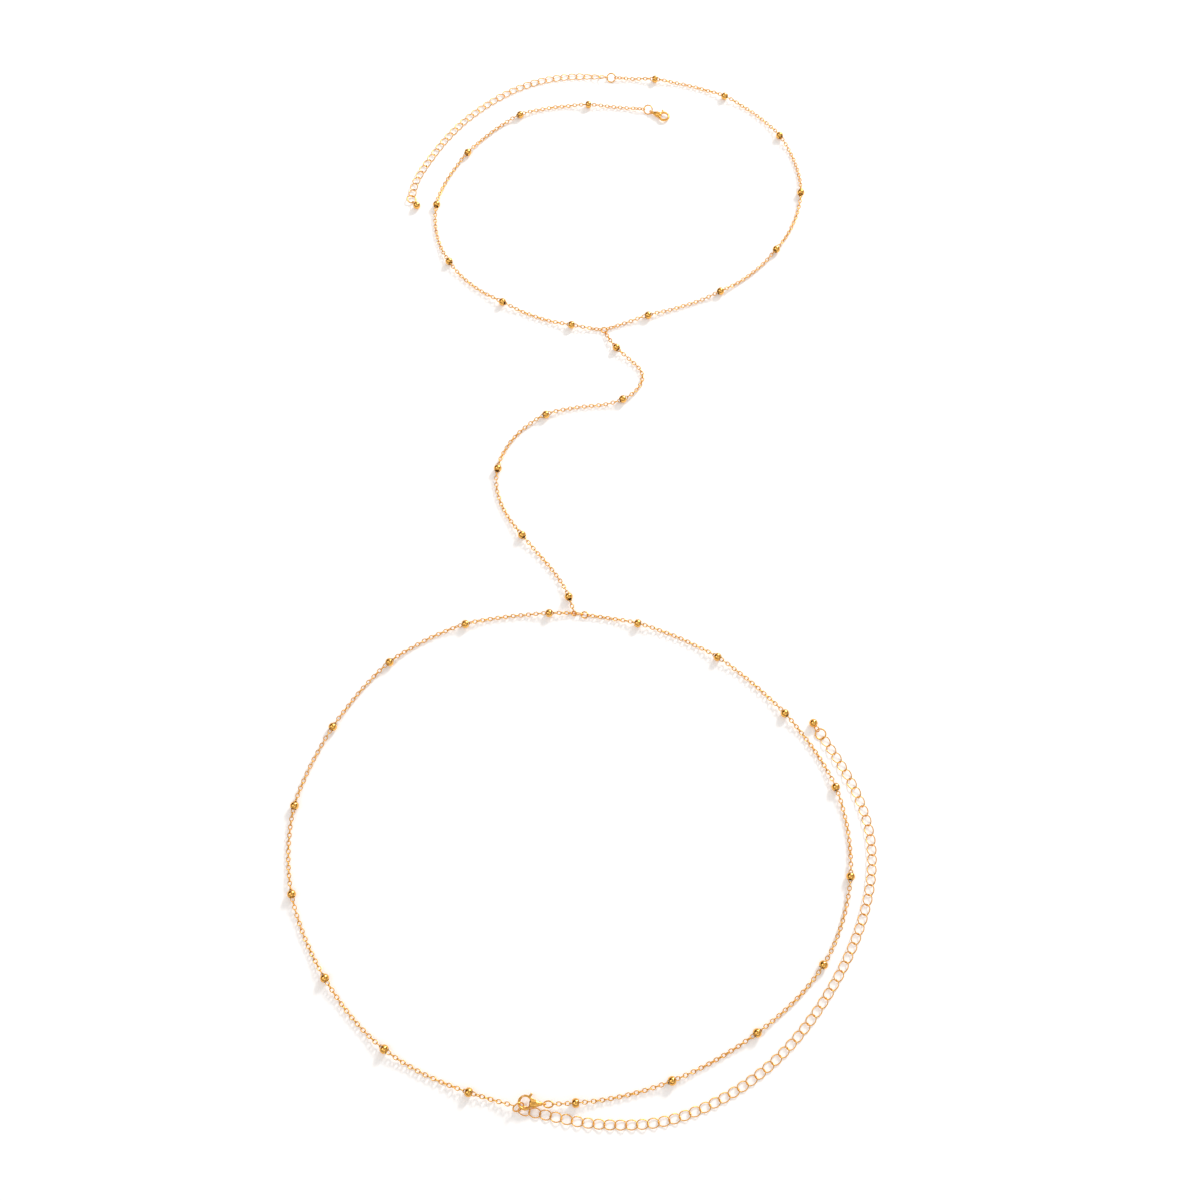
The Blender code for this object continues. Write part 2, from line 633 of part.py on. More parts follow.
def build_waist(profile):
    head = WAIST_CLASP_HEAD
    to_hook = WAIST_CLASP_HEADING + HOOK_RING_ANGLE
    hook_ring = toward(head, to_hook, HOOK_RING_REACH)
    add_ring("waist_hook_ring", BIG_RING_D,
             placed(*metres(hook_ring, HOOK_RING_Z), to_hook + math.pi, HOOK_RING_LEAN))
    tail = toward(head, WAIST_CLASP_HEADING, -HEAD_X)
    add_clasp("waist_clasp", placed(*metres(tail, HOOK_RING_Z), WAIST_CLASP_HEADING, math.pi))
    clasp_ring = toward(tail, WAIST_CLASP_HEADING, EYE_X - SMALL_RING_R)
    add_ring("waist_clasp_ring", SMALL_RING_D, placed(*metres(clasp_ring, HOOK_RING_Z)))
    left = Strand(Line([WAIST_DROP_RING] + WAIST_LEFT_ROUTE + [hook_ring]), CHAIN_REST_Z,
                  (DROP_TRIM, BIG_TRIM), (FLAT_RING_Z, HOOK_RING_Z), WAIST_LEFT_BEADS)
    right = Strand(Line([WAIST_JOIN_RING] + WAIST_RIGHT_ROUTE + [clasp_ring]), CHAIN_REST_Z,
                   (SMALL_TRIM, SMALL_TRIM), (FLAT_RING_Z, HOOK_RING_Z), WAIST_RIGHT_BEADS)
    for side, strand in (("left", left), ("right", right)):
        add_chain_form(f"waist_chain_{side}", strand, CHAIN_D)
        add_beads(f"waist_bead_{side}", strand, profile)
    return hook_ring, to_hook


def build_waist_extender(hook_ring, to_hook):
    below = to_hook + math.pi / 2
    reach = BIG_RING_R * math.cos(HOOK_RING_LEAN) + RING_WIRE_D / 2
    start = toward(hook_ring, below, reach)
    line = Line([start] + WAIST_EXTENDER_ROUTE + [WAIST_END_RING])
    strand = Strand(line, EXTENDER_REST_Z, (GAP, BIG_TRIM), (EXTENDER_REST_Z, EXTENDER_REST_Z))
    add_chain_form("waist_extender", strand, EXTENDER_D)
    add_ring("waist_end_ring", BIG_RING_D, placed(*metres(WAIST_END_RING, EXTENDER_REST_Z)))
    add_end_ball("waist_end_ball", WAIST_END_RING, EXTENDER_REST_Z, WAIST_BALL_HEADING)


def centre_on_origin():
    """Moves every piece so that the whole chain's box is centred over the origin."""
    bpy.context.view_layer.update()
    graph = bpy.context.evaluated_depsgraph_get()
    corners = []
    for obj in PIECES.objects:
        shape = obj.evaluated_get(graph)
        mesh = shape.to_mesh()
        points = np.empty(len(mesh.vertices) * 3)
        mesh.vertices.foreach_get("co", points)
        world = np.array(obj.matrix_world)
        points = points.reshape(-1, 3) @ world[:3, :3].T + world[:3, 3]
        corners += [points.min(axis=0), points.max(axis=0)]
        shape.to_mesh_clear()
    low, high = np.min(corners, axis=0), np.max(corners, axis=0)
    shift = Matrix.Translation((-(low[0] + high[0]) / 2, -(low[1] + high[1]) / 2, -low[2]))
    for obj in list(PIECES.objects) + list(CUTTERS.objects):
        obj.matrix_world = shift @ obj.matrix_world
    print("moved by", [round(value / MM, 3) for value in shift.translation])


def main():
    profile = bead_profile()
    build_neck(profile)
    build_neck_extender()
    build_drop(profile)
    build_waist_extender(*build_waist(profile))
    centre_on_origin()


main()
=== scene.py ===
# %% [markdown]
# # A body chain, link by link
#
# The object is a piece of body jewellery laid flat: a neck chain that hangs open, a short
# drop, and a waist chain fastened into a loop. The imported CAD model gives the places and
# the main forms. This lesson dresses it: every link of the fine chain, every drilled bead,
# the rings, the two clasps and the extender chains, in polished gold.

# %% The frame and its box
import json
import math

import bmesh
import bpy
import numpy as np
from mathutils import Euler, Matrix, Vector


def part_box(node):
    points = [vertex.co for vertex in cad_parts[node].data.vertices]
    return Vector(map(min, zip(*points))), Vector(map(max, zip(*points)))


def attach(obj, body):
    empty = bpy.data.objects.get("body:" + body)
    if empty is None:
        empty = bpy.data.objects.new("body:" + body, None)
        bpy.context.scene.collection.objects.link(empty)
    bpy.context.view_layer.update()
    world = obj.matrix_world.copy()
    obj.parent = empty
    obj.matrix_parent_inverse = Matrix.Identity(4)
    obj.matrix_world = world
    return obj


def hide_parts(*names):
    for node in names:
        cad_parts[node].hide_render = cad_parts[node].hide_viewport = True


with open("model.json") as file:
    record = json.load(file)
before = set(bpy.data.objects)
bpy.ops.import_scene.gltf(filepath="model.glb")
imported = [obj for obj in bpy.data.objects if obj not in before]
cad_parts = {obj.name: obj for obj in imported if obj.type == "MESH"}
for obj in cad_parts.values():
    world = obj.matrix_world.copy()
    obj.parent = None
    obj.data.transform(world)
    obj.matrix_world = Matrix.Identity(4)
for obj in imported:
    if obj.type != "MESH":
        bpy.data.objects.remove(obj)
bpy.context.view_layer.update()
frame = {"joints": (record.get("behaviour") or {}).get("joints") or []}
MM = 0.001

# %% [markdown]
# ## The camera
#
# The chain is seen from above and a little from the waist's side, so the loops look
# slightly shorter the further away they are. Evenly spaced beads give the angle away: the
# camera that makes their spacings equal stands 480 mm above the table and looks down at 66
# degrees. A camera is cheap to place first, and everything after it can be judged through it.

# %% Camera
CAMERA_PLACE = (6.7 * MM, -242.9 * MM, 480 * MM)
CAMERA_BELOW_HORIZON = math.radians(66.45)
CAMERA_LENS = 43.2

camera = bpy.data.objects.new("camera", bpy.data.cameras.new("camera"))
camera.location = CAMERA_PLACE
camera.rotation_euler = (math.pi / 2 - CAMERA_BELOW_HORIZON, 0, 0)
camera.data.sensor_width = 36.0
camera.data.lens = CAMERA_LENS
camera.data.clip_start = 0.01
bpy.context.scene.collection.objects.link(camera)
bpy.context.scene.camera = camera
print("camera", [round(v, 3) for v in camera.location])

# %% [markdown]
# ## The table and the light
#
# The table is one large white sheet. Two square panels light it. The first stands low at
# the upper right and throws the light-grey shadows that lie to the lower left of each
# bead. The second is weak, stands at the left and adds another glint to the beads.

# %% Table and panels
TABLE_SIZE = 6.0
KEY_PLACE, KEY_SIDE, KEY_POWER = (1.0, 1.5, 1.05), 0.45, 30
FILL_PLACE, FILL_SIDE, FILL_POWER = (-0.9, -0.2, 1.5), 0.3, 1

table_mesh = bpy.data.meshes.new("table")
form = bmesh.new()
bmesh.ops.create_grid(form, x_segments=1, y_segments=1, size=TABLE_SIZE / 2)
form.to_mesh(table_mesh)
form.free()
table = bpy.data.objects.new("table", table_mesh)
bpy.context.scene.collection.objects.link(table)


def add_panel(name, place, side, power):
    """A square panel light that faces the middle of the chain."""
    light = bpy.data.lights.new(name, "AREA")
    light.shape, light.size, light.size_y = "RECTANGLE", side, side
    light.energy = power
    panel = bpy.data.objects.new(name, light)
    panel.location = place
    panel.rotation_euler = (-Vector(place)).to_track_quat("-Z", "Y").to_euler()
    bpy.context.scene.collection.objects.link(panel)


add_panel("key", KEY_PLACE, KEY_SIDE, KEY_POWER)
add_panel("fill", FILL_PLACE, FILL_SIDE, FILL_POWER)
bpy.context.scene.view_settings.view_transform = "Standard"

# %% [markdown]
# ## Writing shader maths as Python
#
# A material varies over its surface by sums and products of noise. Adding a Math node for
# each by hand is slow to read, so one small class wraps a socket, and its operators add the
# nodes. Colours go through Mix nodes, because Math would turn them grey.

# %% A socket with operators
MIX_FACTOR, MIX_LOW, MIX_HIGH, MIX_COLOUR = 0, 6, 7, 2


class Wire:
    """A value inside a material, which sums and products can be written with."""

    def __init__(self, tree, socket):
        self.tree, self.socket = tree, socket

    def node(self, kind, sockets=(), settings=(), stops=(), out=0):
        """Adds a node: its settings and ramp stops first, then its sockets' values or links."""
        made = self.tree.nodes.new(kind)
        for name, value in dict(settings).items():
            setattr(made, name, value)
        for index, (place, colour) in enumerate(stops):
            ramp = made.color_ramp.elements
            stop = ramp[index] if index < 2 else ramp.new(place)
            stop.position, stop.color = place, colour
        for name, value in dict(sockets).items():
            if isinstance(value, Wire):
                self.tree.links.new(value.socket, made.inputs[name])
            else:
                made.inputs[name].default_value = value
        return Wire(self.tree, made.outputs[out])

    def maths(self, operation, first, second):
        return self.node("ShaderNodeMath", {0: first, 1: second}, {"operation": operation})

    def __add__(self, other):
        return self.maths("ADD", self, other)

    def __mul__(self, other):
        return self.maths("MULTIPLY", self, other)

    def __sub__(self, other):
        return self.maths("SUBTRACT", self, other)

    def __rsub__(self, other):
        return self.maths("SUBTRACT", other, self)

    __radd__, __rmul__ = __add__, __mul__

    def blend(self, low, high):
        """The colour between two, by this value."""
        return self.node("ShaderNodeMix", {MIX_FACTOR: self, MIX_LOW: low, MIX_HIGH: high},
                         {"data_type": "RGBA"}, out=MIX_COLOUR)


def new_material(name):
    """A material with only a Principled shader; returns it, the shader and a first wire."""
    material = bpy.data.materials.new(name)
    material.use_nodes = True
    tree = material.node_tree
    shader = tree.nodes["Principled BSDF"]
    place = Wire(tree, tree.nodes.new("ShaderNodeTexCoord").outputs["Object"])
    return material, shader, place


print("operators ready")

# %% [markdown]
# ## Gold plate
#
# The real finish is bright yellow gold plate, polished but worked in small drums, so it
# keeps a faint ripple and tiny differences in warmth from place to place. Two scales of
# noise give the warmth and the ripple, and a fine bump breaks up the reflections. The
# beads are the smoothest. The wire and the clasps get a softer shine, because a mirror
# only a pixel or two wide shows as bright and dark dots, and the links then run together.

# %% Gold finishes
PALE_GOLD, WARM_GOLD = (0.94, 0.58, 0.17, 1), (0.85, 0.39, 0.06, 1)
WARMTH_SPREAD, ROUGHNESS_SPREAD = 0.8, 0.06
BROAD_NOISE = {"Scale": 260.0, "Detail": 2.0}
FINE_NOISE = {"Scale": 2600.0, "Detail": 3.0}


def gold_material(name, roughness, ripple, warmth=0.5, shade=1.0):
    """Gold whose warmth, roughness and ripple vary a little over the surface; shade darkens it
    all, as painted shade.
    """
    material, shader, place = new_material(name)
    broad = place.node("ShaderNodeTexNoise", {"Vector": place, **BROAD_NOISE})
    fine = place.node("ShaderNodeTexNoise", {"Vector": place, **FINE_NOISE})
    warm = broad * WARMTH_SPREAD + (warmth - WARMTH_SPREAD / 2)
    colour = warm.blend([shade * v for v in PALE_GOLD], [shade * v for v in WARM_GOLD])
    rough = roughness + (fine - 0.5) * ROUGHNESS_SPREAD
    bump = place.node("ShaderNodeBump", {"Height": broad + fine * 0.5, "Distance": ripple})
    bump.socket.node.inputs["Strength"].default_value = 1.0
    for socket, wire in (("Base Color", colour), ("Roughness", rough), ("Normal", bump)):
        place.tree.links.new(wire.socket, shader.inputs[socket])
    shader.inputs["Metallic"].default_value = 1.0
    return material


bead_gold = gold_material("bead_gold_polished", 0.17, 0.01 * MM)
link_gold = gold_material("link_gold_polished", 0.33, 0.01 * MM, warmth=0.55)
clasp_gold = gold_material("clasp_gold_polished", 0.31, 0.015 * MM)
# The inside of a bead's hole: gold at 0.12 of its colour, as painted shade for the depth of the
# hole.
bore_painted_shade = gold_material("bore_painted_shade_gold", 0.45, 0.02 * MM, shade=0.12)
print("materials", [m.name for m in (bead_gold, link_gold, clasp_gold, bore_painted_shade)])

# %% [markdown]
# ## White paper
#
# The sheet is matt, with a faint grain. It glows a little, as a light table does: it comes
# out paper white, and the shadows on it stay light.

# %% Table paper
PAPER_DARK, PAPER_LIGHT = (0.90, 0.90, 0.90, 1), (0.93, 0.93, 0.93, 1)
PAPER_ROUGHNESS, PAPER_GLOW = 0.9, 0.2

paper, paper_shader, place = new_material("table_paper")
grain = place.node("ShaderNodeTexNoise", {"Vector": place, "Scale": 900.0, "Detail": 2.0})
paper_colour = grain.blend(PAPER_DARK, PAPER_LIGHT)
place.tree.links.new(paper_colour.socket, paper_shader.inputs["Base Color"])
paper_shader.inputs["Roughness"].default_value = PAPER_ROUGHNESS
paper_shader.inputs["Emission Color"].default_value = (1, 1, 1, 1)
paper_shader.inputs["Emission Strength"].default_value = PAPER_GLOW
table.data.materials.append(paper)
print("table material", table.data.materials[0].name)

# %% [markdown]
# ## A pale backdrop
#
# Seen from low down, the room's dark walls would stand behind the table. A photographer
# hangs a roll of white paper there. Here it is a tall open drum round the table. The camera
# sees it and the light doesn't, so the gold keeps the darker room in its reflections.

# %% Backdrop
BACKDROP_R, BACKDROP_TALL, BACKDROP_SIDES = 2.9, 4.0, 128

form = bmesh.new()
bmesh.ops.create_cone(form, cap_ends=False, segments=BACKDROP_SIDES, radius1=BACKDROP_R,
                      radius2=BACKDROP_R, depth=BACKDROP_TALL,
                      matrix=Matrix.Translation((0, 0, BACKDROP_TALL / 2)))
backdrop_mesh = bpy.data.meshes.new("backdrop")
form.to_mesh(backdrop_mesh)
form.free()
backdrop_mesh.shade_smooth()
backdrop_mesh.materials.append(paper)
backdrop = bpy.data.objects.new("backdrop", backdrop_mesh)
bpy.context.scene.collection.objects.link(backdrop)
backdrop.visible_diffuse = backdrop.visible_glossy = backdrop.visible_shadow = False
print("backdrop radius m", BACKDROP_R)

# %% [markdown]
# ## The room
#
# Gold looks like what it reflects. Under an even white sky it turns pale, so the room is
# bright overhead and dark low down, with darker patches between, as a studio has between
# its lamps. These give every wire a brown edge. A black flag stands at the upper left, and
# each bead shows it as a dark spot. The darkest walls are a warm brown.

# %% Room
FLAG_WAY = (-0.70, 0.56, 0.44)
ROOM_STRENGTH, PATCH_SCALE = 1.65, 1.7
DARK_WALL = (0.07, 0.04, 0.02, 1)

world = bpy.data.worlds.new("room")
bpy.context.scene.world = world
world.use_nodes = True
room = Wire(world.node_tree, world.node_tree.nodes.new("ShaderNodeTexCoord").outputs["Generated"])
height = room.node("ShaderNodeSeparateXYZ", {"Vector": room}, out=2)
sky = height.node("ShaderNodeValToRGB", {"Fac": height},
                  stops=[(0.0, (0.30, 0.30, 0.30, 1)), (0.75, (1, 1, 1, 1)),
                         (0.25, (0.05, 0.05, 0.05, 1)), (0.5, (0.35, 0.35, 0.35, 1))])
patches = room.node("ShaderNodeTexNoise", {"Vector": room, "Scale": PATCH_SCALE, "Detail": 0.0})
lamps = patches.node("ShaderNodeValToRGB", {"Fac": patches},
                     stops=[(0.42, (0.25, 0.25, 0.25, 1)), (0.54, (1.3, 1.3, 1.3, 1))])
nearness = room.node("ShaderNodeVectorMath", {0: room, 1: FLAG_WAY},
                     {"operation": "DOT_PRODUCT"}, out=1)
flag = nearness.node("ShaderNodeValToRGB", {"Fac": nearness},
                     stops=[(0.82, (1, 1, 1, 1)), (0.89, (0, 0, 0, 1))])
walls = (sky * lamps * flag).blend(DARK_WALL, (1, 1, 1, 1))
background = world.node_tree.nodes["Background"]
world.node_tree.links.new(walls.socket, background.inputs["Color"])
background.inputs["Strength"].default_value = ROOM_STRENGTH
print("room nodes", len(world.node_tree.nodes))

# %% [markdown]
# ## The lines that the chains lie on
#
# A chain on a table lies in one smooth line through a few places. The same places made the
# CAD model, so the links drawn here fall where its solids are. They are in millimetres on
# the table, and one ring's place in the model tells how far to shift them all. A cubic
# spline read by the distance along it puts links at an even pitch, and a second function
# lifts the line to the height of each bead and each ring.

# %% Places on the table
LAID = {
    "neck_drop_ring": (7.6, 82.9), "neck_clasp_ring": (26.4, 194.0),
    "neck_extender_ring": (10.8, 211.6), "waist_drop_ring": (-3.4, -38.8),
    "waist_join_ring": (0.4, -39.4), "waist_end_ring": (82.9, -84.6),
}
ROUTES = {
    "neck_left": [(-6.3, 85), (-33.5, 96), (-54.5, 114.5), (-61.5, 142.5), (-49, 171.5),
                  (-26, 192), (3, 196.5)],
    "neck_right": [(24, 89), (54.5, 101), (78, 122), (89, 150), (81, 181), (60.5, 200.5),
                   (30.5, 210.5)],
    "drop": [(12.5, 74), (22.5, 61.5), (17, 52), (2, 48), (-14.5, 44), (-28.5, 31.5),
             (-33, 14), (-23, -7.5), (-6, -31)],
    "waist_left": [(-11, -39), (-41.5, -43), (-69.5, -58.5), (-87.5, -82.5), (-98.5, -111.5),
                   (-96.5, -141.5), (-84, -167.5), (-64, -189.5), (-36.5, -203)],
    "waist_right": [(19.5, -43), (48.5, -56.5), (71, -77.5), (86.5, -103), (90, -133),
                    (79.5, -163), (56, -185.5), (28.5, -200), (-1.5, -206.5)],
    "neck_extender": [(4.5, 212.5), (-23, 209), (-42.5, 197), (-55.5, 183.5), (-66, 166.5),
                      (-71, 154.5), (-72, 142.5)],
    "waist_extender": [(-14, -209.5), (-1, -212), (12, -213), (25.5, -212), (38.5, -208),
                       (62, -193.5), (80, -173), (93, -148.5), (97.5, -121), (89.5, -96)],
}


def middle(node):
    """The middle of a node's box in the model."""
    low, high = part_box(node)
    return (low + high) / 2


SHIFT = middle("neck_drop_ring").xy - Vector(LAID["neck_drop_ring"]) * MM


def on_table(place_mm):
    """A place of the lists, in metres in the model's frame."""
    return np.array(place_mm, float) * MM + np.array(SHIFT)


print("shift mm", [round(v / MM, 2) for v in SHIFT])


# %% A smooth line read by distance
class Line:
    """A natural cubic spline through places on the table."""

    STEP = 0.2 * MM

    def __init__(self, points):
        points = np.array(points, float)
        knots = np.concatenate([[0], np.cumsum(np.linalg.norm(np.diff(points, axis=0), axis=1))])
        gaps = np.diff(knots)
        left, right = np.eye(len(points)), np.zeros_like(points)
        for i in range(1, len(points) - 1):
            left[i, i - 1:i + 2] = gaps[i - 1], 2 * (gaps[i - 1] + gaps[i]), gaps[i]
            right[i] = 6 * ((points[i + 1] - points[i]) / gaps[i]
                            - (points[i] - points[i - 1]) / gaps[i - 1])
        bends = np.linalg.solve(left, right)
        reads = np.linspace(0, knots[-1], int(knots[-1] / self.STEP) + 2)
        k = np.clip(np.searchsorted(knots, reads, side="right") - 1, 0, len(points) - 2)
        width = gaps[k][:, None]
        b = (reads - knots[k])[:, None] / width
        a = 1 - b
        self.points = (a * points[k] + b * points[k + 1]
                       + ((a**3 - a) * bends[k] + (b**3 - b) * bends[k + 1]) * width**2 / 6)
        steps = np.linalg.norm(np.diff(self.points, axis=0), axis=1)
        self.along = np.concatenate([[0], np.cumsum(steps)])
        self.length = self.along[-1]

    def at(self, distance):
        """The place at a distance; past an end the line carries straight on."""
        inside = np.clip(distance, 0, self.length)
        flat = np.array([np.interp(inside, self.along, self.points[:, k]) for k in (0, 1)])
        return flat + (distance - inside) * self.way(inside)

    def way(self, distance):
        """The direction at a distance, one long."""
        near = np.clip(distance - self.STEP, 0, self.length - 2 * self.STEP)
        step = np.array([np.interp(near + 2 * self.STEP, self.along, self.points[:, k])
                         - np.interp(near, self.along, self.points[:, k]) for k in (0, 1)])
        return step / np.linalg.norm(step)


def strand_line(name, start, end):
    """The line of one strand, from ring to ring."""
    return Line([start] + [on_table(p) for p in ROUTES[name]] + [end])


print("line read every mm", Line.STEP / MM)

# %% Where the rings lie, and the strands between them
# The ring in the closed hook hangs a hair off the model's place, clear of the open lever.
HOOK_RING_SETTLES = np.array((0.11, -0.13)) * MM
RINGS = {name: on_table(place) for name, place in LAID.items()}
RINGS["waist_hook_ring"] = np.array(middle("waist_hook_ring").xy) + HOOK_RING_SETTLES
# The clasp's own ring is pulled a little oval, so it reaches further along the chain.
CLASP_RING_REACHES = np.array((0.3, -0.02)) * MM
RINGS["waist_clasp_ring"] = np.array(middle("waist_clasp_ring").xy) + CLASP_RING_REACHES

LINES = {
    "neck_left": strand_line("neck_left", RINGS["neck_drop_ring"], RINGS["neck_clasp_ring"]),
    "neck_right": strand_line("neck_right", RINGS["neck_drop_ring"], RINGS["neck_extender_ring"]),
    "drop": strand_line("drop", RINGS["neck_drop_ring"], RINGS["waist_drop_ring"]),
    "waist_left": strand_line("waist_left", RINGS["waist_drop_ring"], RINGS["waist_hook_ring"]),
    "waist_right": strand_line("waist_right", RINGS["waist_join_ring"], RINGS["waist_clasp_ring"]),
}
for name, line in LINES.items():
    print(name, "mm", round(line.length / MM, 1))

# %% [markdown]
# ## One sweep for every wire
#
# Links, rings, loops and the clasp's hook are all one thing: a wire that follows a path.
# A sweep walks along the path and sets a small oval of points round each station. Closed
# paths give links, and open ones get a flat cap at each end. The points are made as arrays,
# because a chain needs hundreds of copies.

# %% Sweep
def unit(vectors):
    """The same directions, each one long."""
    return vectors / np.linalg.norm(vectors, axis=-1, keepdims=True)


def tube_faces(count, sides, closed):
    """Faces between rounds of points; an open tube gets a cap at each end."""
    faces = []
    for i in range(count if closed else count - 1):
        j = (i + 1) % count
        for k in range(sides):
            m = (k + 1) % sides
            faces.append((i * sides + k, j * sides + k, j * sides + m, i * sides + m))
    if not closed:
        faces.append(tuple(range(sides)))
        faces.append(tuple((count - 1) * sides + k for k in reversed(range(sides))))
    return faces


def sweep(path, sides, across, up=None, closed=True):
    """Vertices and faces of a wire along a path; across and up are its half sizes."""
    path = np.asarray(path, float)
    count = len(path)
    if closed:
        way = unit(np.roll(path, -1, 0) - np.roll(path, 1, 0))
    else:
        way = unit(np.gradient(path, axis=0))
    side = unit(np.cross((0, 0, 1), way))
    top = np.cross(way, side)
    across = np.broadcast_to(across, count)
    up = across if up is None else np.broadcast_to(up, count)
    angles = np.arange(sides) * 2 * math.pi / sides
    rounds = (path[:, None]
              + side[:, None] * (np.cos(angles)[None, :, None] * across[:, None, None])
              + top[:, None] * (np.sin(angles)[None, :, None] * up[:, None, None]))
    return rounds.reshape(-1, 3), tube_faces(count, sides, closed)


def ring_path(segments, half_length, half_width, twist=0.0):
    """A closed oval path; twist raises its quarters so that neighbours nest."""
    t = np.arange(segments) * 2 * math.pi / segments
    return np.stack([half_length * np.cos(t), half_width * np.sin(t), twist * np.sin(2 * t)], 1)


print("faces of a closed sweep, 16 by 7:", len(tube_faces(16, 7, True)))


# %% Copies, meshes and pieces
def copies(part, turns, places):
    """One part at many places, as a single list of vertices and faces."""
    vertices, faces = part
    placed = np.einsum("nij,vj->nvi", turns, vertices) + places[:, None]
    joined = [tuple(i + n * len(vertices) for i in face)
              for n in range(len(places)) for face in faces]
    return placed.reshape(-1, 3), joined


def join(parts):
    """Several parts as one."""
    vertices, faces, start = [], [], 0
    for more, own in parts:
        vertices.append(more)
        faces += [tuple(i + start for i in face) for face in own]
        start += len(more)
    return np.concatenate(vertices), faces


def mesh_of(name, part, material):
    """A smooth mesh of one material."""
    mesh = bpy.data.meshes.new(name)
    mesh.from_pydata(part[0].tolist(), [], part[1])
    mesh.validate()
    mesh.shade_smooth()
    mesh.materials.append(material)
    return mesh


def add_piece(name, mesh, nodes, body="chain", matrix=None):
    """Links a mesh into the scene as a piece that stands for nodes of the model."""
    obj = bpy.data.objects.new(name, mesh)
    bpy.context.scene.collection.objects.link(obj)
    obj.matrix_world = matrix or Matrix()
    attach(obj, body)
    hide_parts(*nodes)


print("copies, meshes and pieces ready")

# %% [markdown]
# ## Cable chain
#
# The fine chain is cable chain: small oval links, each turned a quarter turn from its
# neighbours, soldered shut. Wire of 0.35 mm in links 2 mm long gives the open, lacy look
# of the real one. A chain at rest rolls one way and the other along its length. The
# photographed one mostly shows the lens one link's open face and the next one's edge, so
# the roll here follows the lens and drifts a little from it. The last link at each end
# stands upright and goes round the ring's wire.

# %% Sizes of the links, beads and rings
CABLE_LENGTH, CABLE_WIDTH, CABLE_WIRE = 2.08 * MM, 1.58 * MM, 0.35 * MM
CABLE_PITCH = 1.38 * MM
LINK_GAP = 0.02 * MM
BEAD_D = 3.0 * MM
# For each strand: the first bead's distance and the spacing, both in mm, and the number.
BEADS = {"neck_left": (13.1, 29.8, 7), "neck_right": (18.6, 31.3, 7), "drop": (9.9, 30.6, 6),
         "waist_left": (9.0, 30.5, 9), "waist_right": (19.5, 31.3, 9)}
BEAD_NODES = {"neck_left": "neck_bead_left", "neck_right": "neck_bead_right", "drop": "drop_bead",
              "waist_left": "waist_bead_left", "waist_right": "waist_bead_right"}
ENDS = {"neck_left": ("neck_drop_ring", "neck_clasp_ring"),
        "neck_right": ("neck_drop_ring", "neck_extender_ring"),
        "drop": ("neck_drop_ring", "waist_drop_ring"),
        "waist_left": ("waist_drop_ring", "waist_hook_ring"),
        "waist_right": ("waist_join_ring", "waist_clasp_ring")}
RING_D = {"neck_drop_ring": 2.9 * MM, "neck_clasp_ring": 4.1 * MM, "neck_extender_ring": 4.1 * MM,
          "waist_drop_ring": 2.2 * MM, "waist_join_ring": 2.9 * MM, "waist_hook_ring": 4.1 * MM,
          "waist_clasp_ring": 3.5 * MM, "waist_end_ring": 4.1 * MM}
RING_WIRE = 0.5 * MM
print("smallest and largest ring mm", min(RING_D.values()) / MM, max(RING_D.values()) / MM)

# %% Height and direction at a place on a strand
# The chain lies at REST_Z and rises over RISE to a level stretch at each bead (SEAT) and each
# ring (RING_SEAT more than the ring is wide). A direction is read over LOOK to each side.
REST_Z, RISE, SEAT = 0.85 * MM, 8.0 * MM, 3.4 * MM
RING_SEAT, TABLE_GAP, LOOK = 0.6 * MM, 0.01 * MM, 0.3 * MM


def bead_places(name):
    """The distances along a strand at which its beads sit."""
    first, spacing, number = BEADS[name]
    return [(first + k * spacing) * MM for k in range(number)]


def ease(share):
    """A share from 0 to 1 that starts and ends gently."""
    share = np.clip(share, 0, 1)
    return share * share * (3 - 2 * share)


def strand_height(name, distance):
    """The chain's height: low between beads, lifted to each bead and to its end rings."""
    lifts = [(place, BEAD_D / 2, SEAT) for place in bead_places(name)]
    for place, ring in zip((0, LINES[name].length), ENDS[name]):
        upright = CABLE_WIDTH / 2 + TABLE_GAP
        lifts.append((place, max(middle(ring).z, upright), RING_D[ring] + RING_SEAT))
    change = [(top - REST_Z) * ease(1 - (abs(distance - place) - flat / 2) / RISE)
              for place, top, flat in lifts]
    return REST_Z + max(change, key=abs)


def strand_point(name, distance):
    return np.array([*LINES[name].at(distance), strand_height(name, distance)])


def chain_axes(name, distance):
    """Three directions at a place on a strand: along it, level across it, and up."""
    way = unit(strand_point(name, distance + LOOK) - strand_point(name, distance - LOOK))
    side = unit(np.cross((0, 0, 1), way))
    return way, side, np.cross(way, side)


print("height at the first neck bead mm",
      round(strand_height("neck_left", bead_places("neck_left")[0]) / MM, 2))

# %% Cable links along each line
CABLE_SEGMENTS, CABLE_SIDES = 16, 7
LINK_WOBBLE, DRIFT = math.radians(5), math.radians(9)
DRIFT_WAVES, DRIFT_FADE = (47, 83), 8 * MM
random = np.random.default_rng(7)


def link_turns(name, stations, rolls):
    """A rotation for each link: X along the chain, rolled about it."""
    turns = []
    for distance, roll in zip(stations, rolls):
        way, side, top = chain_axes(name, distance)
        across = side * math.cos(roll) + top * math.sin(roll)
        turns.append(np.stack([way, across, np.cross(way, across)], 1))
    return np.array(turns)


def roll_to_lens(name, distance):
    """The roll at which a lying link shows the lens its open face."""
    way, side, top = chain_axes(name, distance)
    lens = np.array(CAMERA_PLACE) - strand_point(name, distance)
    return math.atan2(-lens @ side, lens @ top)


def slow_roll(name, stations):
    """A roll that follows the lens with a drift, and dies out at the strand's ends."""
    waves = sum(np.sin(2 * math.pi * (stations / (step * MM) + random.random()))
                for step in DRIFT_WAVES)
    near_end = np.minimum(stations - stations[0], stations[-1] - stations) / DRIFT_FADE
    facing = np.array([roll_to_lens(name, s) for s in stations])
    return (facing + DRIFT * waves) * ease(near_end)


